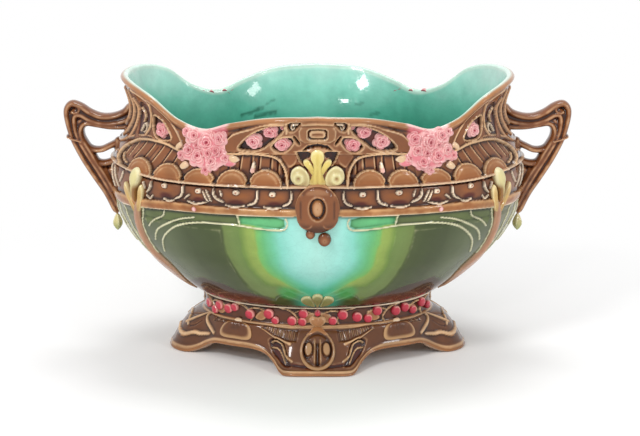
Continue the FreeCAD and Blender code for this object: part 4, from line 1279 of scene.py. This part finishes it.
def ring_piece(name, points, shade, replaced):
    """A piece of the stand from its front half; the back repeats it without the two end columns."""
    full = np.concatenate([points, points[:, 1:-1][:, ::-1] * (1, -1, 1)], 1)
    shade = np.concatenate([shade, shade[:, 1:-1][:, ::-1]], 1)
    rows, cols = full.shape[:2]
    make(name, full.reshape(-1, 3), [loop_faces(rows, cols, wrap_cols=True)], shade.reshape(-1, 3),
         stand_glaze, "stand", "stand_base", [replaced], sharp=60)


def foot_point(q, u):
    """On the slope of the stand: q along its outline from the front middle, u from the collar to the edge."""
    x, y, low = (np.interp(q, edge_far, edge_line[:, i]) for i in range(3))
    low = np.clip(low, 0.4, None)
    turn = np.arctan2(x / COLLAR[0], y / COLLAR[1])
    ix, iy = COLLAR[0] * np.sin(turn), COLLAR[1] * np.cos(turn)
    steep = 1.25 + 2.2 * ramp(42, 66, np.abs(x)) - 1.4 * ramp(84, 118, np.abs(x))
    fall = np.clip(u, 0, 1) ** steep
    return np.stack([ix + (x - ix) * u, -(iy + (y - iy) * u), PLINTH_Z + (low + 2.2 - PLINTH_Z) * fall], -1)


def on_slope(q, u, h):
    """Point h out from the slope, square to it."""
    d = 0.4
    across = foot_point(q + d, u) - foot_point(q - d, u)
    down = foot_point(q, u + 0.01) - foot_point(q, u - 0.01)
    out = np.cross(down, across)
    out /= np.linalg.norm(out, axis=-1, keepdims=True) + 1e-9
    return foot_point(q, u) + out * np.asarray(h)[..., None]


SLOPE_RUN = 40.0        # marks on the slope are laid out as if it were this long everywhere


def on_stand(q, v, h):
    """Point h out from the slope, v down it from the collar."""
    return on_slope(q, v / SLOPE_RUN, h)


# stems and ridges on the end feet: points, width and height
FOOT_LINES = (([(-137, 2), (-136, 11), (-131, 20), (-124, 28), (-117, 34)], 3.4, 1.8),
              ([(-139, 2), (-147, 10), (-156, 17), (-165, 23)], 3.2, 1.8),
              ([(-184, 27), (-170, 30), (-158, 31.4), (-146, 29), (-136, 31), (-124, 34)], 3.0, 1.5),
              ([(-188, 13), (-176, 14), (-168, 17), (-160, 24)], 3.0, 1.4))


def stand_marks(f):
    """q along the outline, v from 0 at the collar to 40 at the edge."""
    q, v = f.s, f.z
    f.h += 1.3 * np.exp(-((v - 1.2) / 1.3) ** 2)
    f.h += 1.2 * np.exp(-((v - 38.6) / 1.1) ** 2)
    # the bead along the lower edge is dyed tan, partly its pale glaze and partly a painted highlight along
    # the edge
    f.dye(v > 38.0, "tan", 0.85 * ramp(38.0, 38.8, v[v > 38.0]))
    f.dye(v < 2.2, "tan", 0.6 * ramp(2.2, 1.2, v[v < 2.2]))
    # fine upright ribs under the collar
    for start, stop, low in ((-66, -24, 15), (-122, -108, 20)):
        f.area([(start, 3.2), (stop, 3.2), (stop, low), (start, low)], -0.9, bevel=1.4, smooth=False)
        inside = ramp(start, start + 2, -np.abs(q)) * ramp(stop, stop - 2, -np.abs(q)) * ramp(3, 4.4, v)
        f.h += 0.38 * inside * ramp(low, low - 1.4, v) * np.cos(q * 2 * math.pi / 2.3)
    # sunk panels and ridges on the front foot
    f.area([(-57, 27), (-52, 19), (-38, 19), (-29, 30), (-26, 34.4), (-40, 34.4), (-50, 34)], -1.8, "red",
           bevel=2.4)
    f.stroke([(-54, 25), (-50, 20.6), (-40, 20.6), (-33, 27), (-25, 31)], 2.0, 2.6, "tan", -1.2, taper=0.3)
    f.stroke([(-53, 30), (-46, 26.5), (-38, 28), (-32, 32.4)], 1.8, 1.6, "tan", -1.6, taper=0.4)
    f.stroke([(-66, 17), (-56, 17.4), (-44, 16.8), (-30, 17.2)], 1.8, 1.2, "tan", 0.2)
    f.groove([(-24, 33.6), (-12, 34.6), (0, 34.8), (12, 34.6), (24, 33.6)], 3.4, 1.0, "red", mirrored=False)
    # end feet: stems that branch from the collar, and wavy ridges along the edge
    for line, width, high in FOOT_LINES:
        f.stroke(line, width, high, "tan", 0.1, taper=0.25)
    for line in ([(-150, 7), (-160, 12), (-172, 17)], [(-142, 18), (-149, 23), (-156, 25)]):
        f.groove(line, 3.0, 0.9, "brown")


def stand():
    """The plinth as one skin: its top, the slope, the bead round the edge, the inner wall and the roof."""
    cell = 0.95 * coarse
    half = int(FOOT_END * 2 / cell / 2) * 2 + 1
    q = np.linspace(edge_far[0], FOOT_END, half)
    u = np.linspace(0, 1, int(50 / coarse))[:, None]
    v = u * SLOPE_RUN + 0 * q
    f = Relief(np.broadcast_to(q, v.shape), v, "stand")
    stand_marks(f)
    top = on_slope(f.s, v / SLOPE_RUN, f.h)
    colour = f.paint(1.0 * coarse)
    colour *= (1 + 0.14 * clouds(f.s, v, 13, 40))[..., None]
    foot = foot_point(q, np.ones_like(q))
    inward = -foot * (1, 1, 0)
    inward /= np.linalg.norm(inward, axis=1)[:, None]
    low = np.clip(foot[:, 2] - 2.2, 0.3, None)

    def rim(inset, height):
        p = foot + inward * inset
        p[:, 2] = height
        return p

    bead = [rim(-0.9, low + 1.2), rim(-0.4, low + 0.3), rim(1.0, low), rim(4.0, low), rim(6.2, low + 0.4)]

    def under(share):
        p = foot_point(q, share)
        p[:, 2] = np.clip(p[:, 2] - 8.5, low + 0.6, 29.6)
        return p

    wall = [under(share) for share in (0.88, 0.76, 0.6, 0.4, 0.2)]
    roof = [under(0 * q) * (k, k, 1) for k in (1, 0.7, 0.4, 0.15, 0.01)]
    plate = [foot_point(q, 0 * q) * (k, k, 1) for k in (0.01, 0.3, 0.6, 0.85, 0.96)]
    points = np.array(plate + list(top) + bead + wall + roof)
    raw = glaze(188, 150, 118)
    # the first two rows of the bead are tan, partly a painted highlight along the lower edge
    shades = ([np.tile(GLAZE["stand"][0], (half, 1))] * len(plate) + list(colour)
              + [np.tile(GLAZE["tan"][0], (half, 1))] * 2
              + [np.tile(raw, (half, 1))] * (3 + len(wall) + len(roof)))
    ring_piece("stand_body", points, np.array(shades), "stand")


stand()

collar_arc = way_round(*COLLAR)
COLLAR_LOW, COLLAR_TOP = 39.2, 59.5


def on_collar(s, z, h):
    """Point h out from the collar, s along it from the middle of the front."""
    t = np.interp(s, collar_arc, turn_table)
    out = np.stack([np.sin(t) / COLLAR[0], -np.cos(t) / COLLAR[1], 0 * t], -1)
    out /= np.linalg.norm(out, axis=-1, keepdims=True)
    base = np.stack([COLLAR[0] * np.sin(t), -COLLAR[1] * np.cos(t), z + 0 * t], -1)
    return base + out * np.asarray(h)[..., None]


def collar():
    """The ring that keeps the foot of the bowl in place, with its stems and leaves."""
    cell = 0.85 * coarse
    end = collar_arc[-1]
    s = np.linspace(-end, end, int(2 * end / cell) // 2 * 2 + 1)
    z = np.linspace(COLLAR_LOW, 59.4, int(26 / coarse))[:, None]
    f = Relief(np.broadcast_to(s, (len(z), len(s))), z + 0 * s, "stand")
    f.dye(f.z > 0, "red", np.full(f.z[f.z > 0].shape, 0.35))
    f.h -= 0.8 * ramp(41.5, 43, f.z) * ramp(57.4, 56, f.z)
    f.stroke([(-end, 40.6), (0, 40.6), (end, 40.6)], 1.9, 1.5, "tan", 0.0, mirrored=False)
    f.stroke([(-end, 58.2), (0, 58.2), (end, 58.2)], 1.7, 1.2, "cream", 0.0, mirrored=False)
    for start in range(-255, 0, 44):
        stem = [(start, 57), (start + 8, 55.5), (start + 14, 51), (start + 17, 46), (start + 15, 42)]
        f.stroke(stem, 1.5, 1.8, "tan", -0.4, taper=0.3)
        f.stroke([(start + 13, 53), (start + 20, 55), (start + 28, 53.5), (start + 33, 49)], 1.4, 1.6,
                 "tan", -0.4, taper=0.4)
        f.area([(start + 20, 46), (start + 25, 52), (start + 32, 53), (start + 30, 46), (start + 25, 43.5)],
               0.4, "tan", bevel=1.4)
    outer = on_collar(f.s, f.z, f.h)
    colour = f.paint(1.0)
    rounds = [on_collar(s, z + 0 * s, h + 0 * s) for z,
              h in ((COLLAR_TOP, -0.8), (COLLAR_TOP + 0.1, -3.5), (COLLAR_TOP, -6.7),
                    (COLLAR_TOP - 0.9, -7.4), (COLLAR_LOW, -7.4))]
    points = np.concatenate([outer, rounds])
    shade = np.concatenate([colour, np.tile(GLAZE["stand"][0], (len(rounds), len(s), 1))])
    ring_piece("collar_ring", points, shade, "collar")


collar()


def collar_s(x):
    """How far along the collar it has this x."""
    return float(np.interp(math.asin(x / COLLAR[0]), turn_table, collar_arc))


# x, z and radius
FRUIT = ((-102, 50, 4.4), (-96, 46, 4.2), (-91.7, 51.5, 4.6), (-83, 50.5, 4.6), (-77, 53, 4),
         (-62.6, 48.6, 4.6), (-45, 51, 4.8), (-39, 45, 3.6), (-23.6, 45.4, 4.4), (-13, 53, 4.4),
         (-14, 45, 4), (14, 46, 4), (23.2, 51.5, 4.8), (36.6, 48.6, 4.6), (46.7, 46.5, 4), (55.2, 53, 4.6),
         (72.8, 50.5, 4.6), (81.5, 52, 4.4), (89, 48, 4), (97.8, 52.5, 4.6), (104, 47, 4))

berries = Heap()
for x, z, r in FRUIT:
    at = collar_s(x)

    # painted light on each berry: its rim is paler on the upper side towards +s as a painted highlight, and
    # the berry is darker on the opposite side as painted shade
    def painted_rim_light(u, v, k, at=at, z=z, r=r):
        side = (0.75 * (u - at) + 0.66 * (v - z)) / r
        rim = ramp(0.60, 0.82, k)
        return 0.3 * rim, 0.65 * rim * ramp(-0.1, 0.5, side) - 0.35 * ramp(0.1, -0.7, side)

    lobe(berries, on_collar, circle(at, z, r, r, 10),
         3.2, "berry", rings=9, edge=NO_EDGE, marks=painted_rim_light, mirrored=False)
berries.make("collar_fruit", material=relief_glaze, slot="pink_relief", body="stand_base",
             replaced=["collar_berries"])

hearts = Heap()
lobe(hearts, on_collar, [(0, 40.4), (-4, 41.6), (-7.4, 45.4), (-7.2, 49), (-3.8, 50.6), (0, 49.6),
                         (3.8, 50.6), (7.2, 49), (7.4, 45.4), (4, 41.6)], 5.8, "tan", rings=10,
     mirrored=False, edge=0.6)
lobe(hearts, on_collar, [(0, 50.4), (-2.6, 52), (-2.4, 55), (0, 57), (2.4, 55), (2.6, 52)], 3.2, "berry",
     rings=6, mirrored=False)
hearts.make("heart_knobs", material=relief_glaze, slot="stand", body="stand_base", replaced=["collar_hearts"])

badges = Heap()


def badge(u, v, r):
    """Ring, two D-shaped bosses and a slotted stem, on a disc."""
    w = v - 21
    d = np.hypot(u, w * 1.12)
    ring = np.exp(-((d - 17.2) / 1.5) ** 2)
    groove = np.exp(-((d - 14.2) / 1.4) ** 2)
    boss = ramp(1.05, 0.85, np.hypot((np.abs(u) - 9.6) / 3.9, (w - 0.5) / 5.2))
    boss_ring = np.exp(-((np.hypot((np.abs(u) - 9.6) / 3.9, (w - 0.5) / 5.2) - 1.25) / 0.16) ** 2)
    bars = np.exp(-((np.abs(u) - 3.0) / 0.9) ** 2) * ramp(-9, -6.5, w) * ramp(14, 12, w)
    slot = np.exp(-(u / 1.5) ** 2) * ramp(-5, -3.5, w) * ramp(14, 12, w)
    h = 1.1 * ring - 0.9 * groove + 1.5 * boss - 1.0 * boss_ring + 1.3 * bars - 1.6 * slot
    return h, 0.7 * ring - 0.6 * groove + 0.7 * boss - 0.7 * boss_ring + 0.8 * bars - 0.9 * slot


lobe(badges, on_stand, circle(0, 21, 18.6, 16.4, 24), 3.0, "stand", rings=26, flat=0.55, marks=badge,
     edge=0.94, mirrored=False)
lobe(badges, on_stand, [(-3, 0.8), (-6.5, 2.5), (-9.5, 5.8), (-13, 9), (-10, 10), (-6, 8), (-3.6, 6),
                        (0, 5), (3.6, 6), (6, 8), (10, 10), (13, 9), (9.5, 5.8), (6.5, 2.5), (3, 0.8)], 4.4,
     "tan", rings=8, mirrored=False)
badges.make("foot_badges", material=relief_glaze, slot="stand", body="stand_base",
            replaced=["foot_medallions"])

shells = Heap()


def ribs(u, v, r):
    """Upright flutes in the shell and a pale rim."""
    return 0.3 * np.cos(np.abs(u)
                        * 1.6) * ramp(0.9, 0.5, r), 0.5 * ramp(0.72, 0.92, r) - 0.3 * ramp(0.5, 0.1, r)


lobe(shells, on_stand, [(-108, 35), (-107, 24), (-101, 14), (-92.5, 9.5), (-84, 13), (-77.5, 23), (-76, 35),
                        (-92, 36.4)], 2.6, "stand", rings=14, marks=ribs, flat=0.2)
lobe(shells, on_stand, [(-96, 1), (-97.4, 5), (-96.5, 10), (-93.5, 12.5), (-90.5, 10), (-89.6, 5),
                        (-91, 1)], 4.6, "cream", rings=7)
shells.make("foot_shells", material=relief_glaze, slot="stand", body="stand_base", replaced=["half_shells"])

# ---- stage, light and camera --------------------------------------------------------------------


def plainly_seen(tree):
    """1 for rays from the camera, a reflection or a clear part, and 0 for light that falls on things."""
    path = node(tree, "LightPath")
    seen = path.outputs["Is Camera Ray"]
    for kind in ("Is Glossy Ray", "Is Transmission Ray"):
        seen = node(tree, "Math", {0: seen, 1: path.outputs[kind]}, operation="MAXIMUM").outputs[0]
    return seen


def floor_white():
    """Matt white that runs out into plain white away from the object, so only the shadow shows."""
    material, tree, shader = shaded("floor_white")
    noise = node(tree, "TexNoise", Scale=3.0).outputs["Fac"]
    tint = span(tree, noise, 0.0, 1.0, 0.985, 1.0)
    scale = node(tree, "VectorMath", {"Scale": tint}, operation="SCALE")
    scale.inputs[0].default_value = (0.95, 0.95, 0.95)
    tree.links.new(scale.outputs["Vector"], shader.inputs["Base Color"])
    shader.inputs["Roughness"].default_value = 0.9
    shader.inputs["Specular IOR Level"].default_value = 0.0
    where = node(tree, "TexCoord").outputs["Object"]
    reach = node(tree, "VectorMath", {0: where}, operation="LENGTH").outputs["Value"]
    away = span(tree, reach, 0.21, 0.56)
    share = node(tree, "Math", {0: away, 1: plainly_seen(tree)}, operation="MULTIPLY").outputs[0]
    white = node(tree, "Emission").outputs[0]
    blend = node(tree, "MixShader", {0: share, 1: shader.outputs[0], 2: white})
    tree.links.new(blend.outputs[0], tree.nodes["Material Output"].inputs["Surface"])
    return material


floor_mesh = bpy.data.meshes.new("floor")
floor_mesh.from_pydata([(-6, -6, 0), (6, -6, 0), (6, 9, 0), (-6, 9, 0)], [], [(0, 1, 2, 3)])
floor_mesh.materials.append(floor_white())
floor = bpy.data.objects.new("floor", floor_mesh)
bpy.context.scene.collection.objects.link(floor)

world = bpy.data.worlds.new("studio")
bpy.context.scene.world = world
world.use_nodes = True
sky = world.node_tree
sky.nodes.clear()
dim = node(sky, "Background", Color=(1, 1, 1, 1), Strength=0.62).outputs[0]
bright = node(sky, "Background", Color=(1, 1, 1, 1), Strength=1.0).outputs[0]
pick = node(sky, "MixShader", {0: plainly_seen(sky), 1: dim, 2: bright}).outputs[0]
node(sky, "OutputWorld", {"Surface": pick})


def lamp(name, place, aim, size, power):
    """A soft box at a place, turned to its aim."""
    data = bpy.data.lights.new(name, "AREA")
    data.shape, data.size, data.size_y, data.energy = "RECTANGLE", size[0], size[1], power
    obj = bpy.data.objects.new(name, data)
    obj.location = place
    direction = np.array(aim, float) - np.array(place, float)
    obj.rotation_euler = Vector(direction).to_track_quat("-Z", "Y").to_euler()
    bpy.context.scene.collection.objects.link(obj)


lamp("key", (-0.9, -1.3, 1.5), (0, 0, 0.12), (0.42, 0.32), 14)
lamp("fill", (1.3, -1.1, 0.9), (0, 0, 0.12), (0.30, 0.45), 6)
lamp("sparkle", (-0.35, -1.5, 0.9), (0, 0, 0.15), (0.10, 0.14), 2.2)
lamp("top", (0.1, 0.3, 1.6), (0, 0, 0.1), (0.6, 0.5), 8)

PHOTO_WIDE, FOCAL = 640, 1575           # the photo's width and the fitted focal length, in its pixels
EYE_AWAY, AIM_Z = 1.5, 0.130            # metres from the aim to the camera, and the aim's height
camera = bpy.data.cameras.new("camera")
camera.sensor_width, camera.lens = 36.0, FOCAL * 36 / PHOTO_WIDE
camera.shift_x, camera.shift_y = 0.0039, -0.0055
eye = bpy.data.objects.new("camera", camera)
tilt = math.radians(15)
eye.location = (0, -EYE_AWAY * math.cos(tilt), AIM_Z + EYE_AWAY * math.sin(tilt))
eye.rotation_euler = (math.radians(75), 0, 0)
bpy.context.scene.collection.objects.link(eye)
bpy.context.scene.camera = eye

bpy.context.scene.view_settings.view_transform = "Standard"
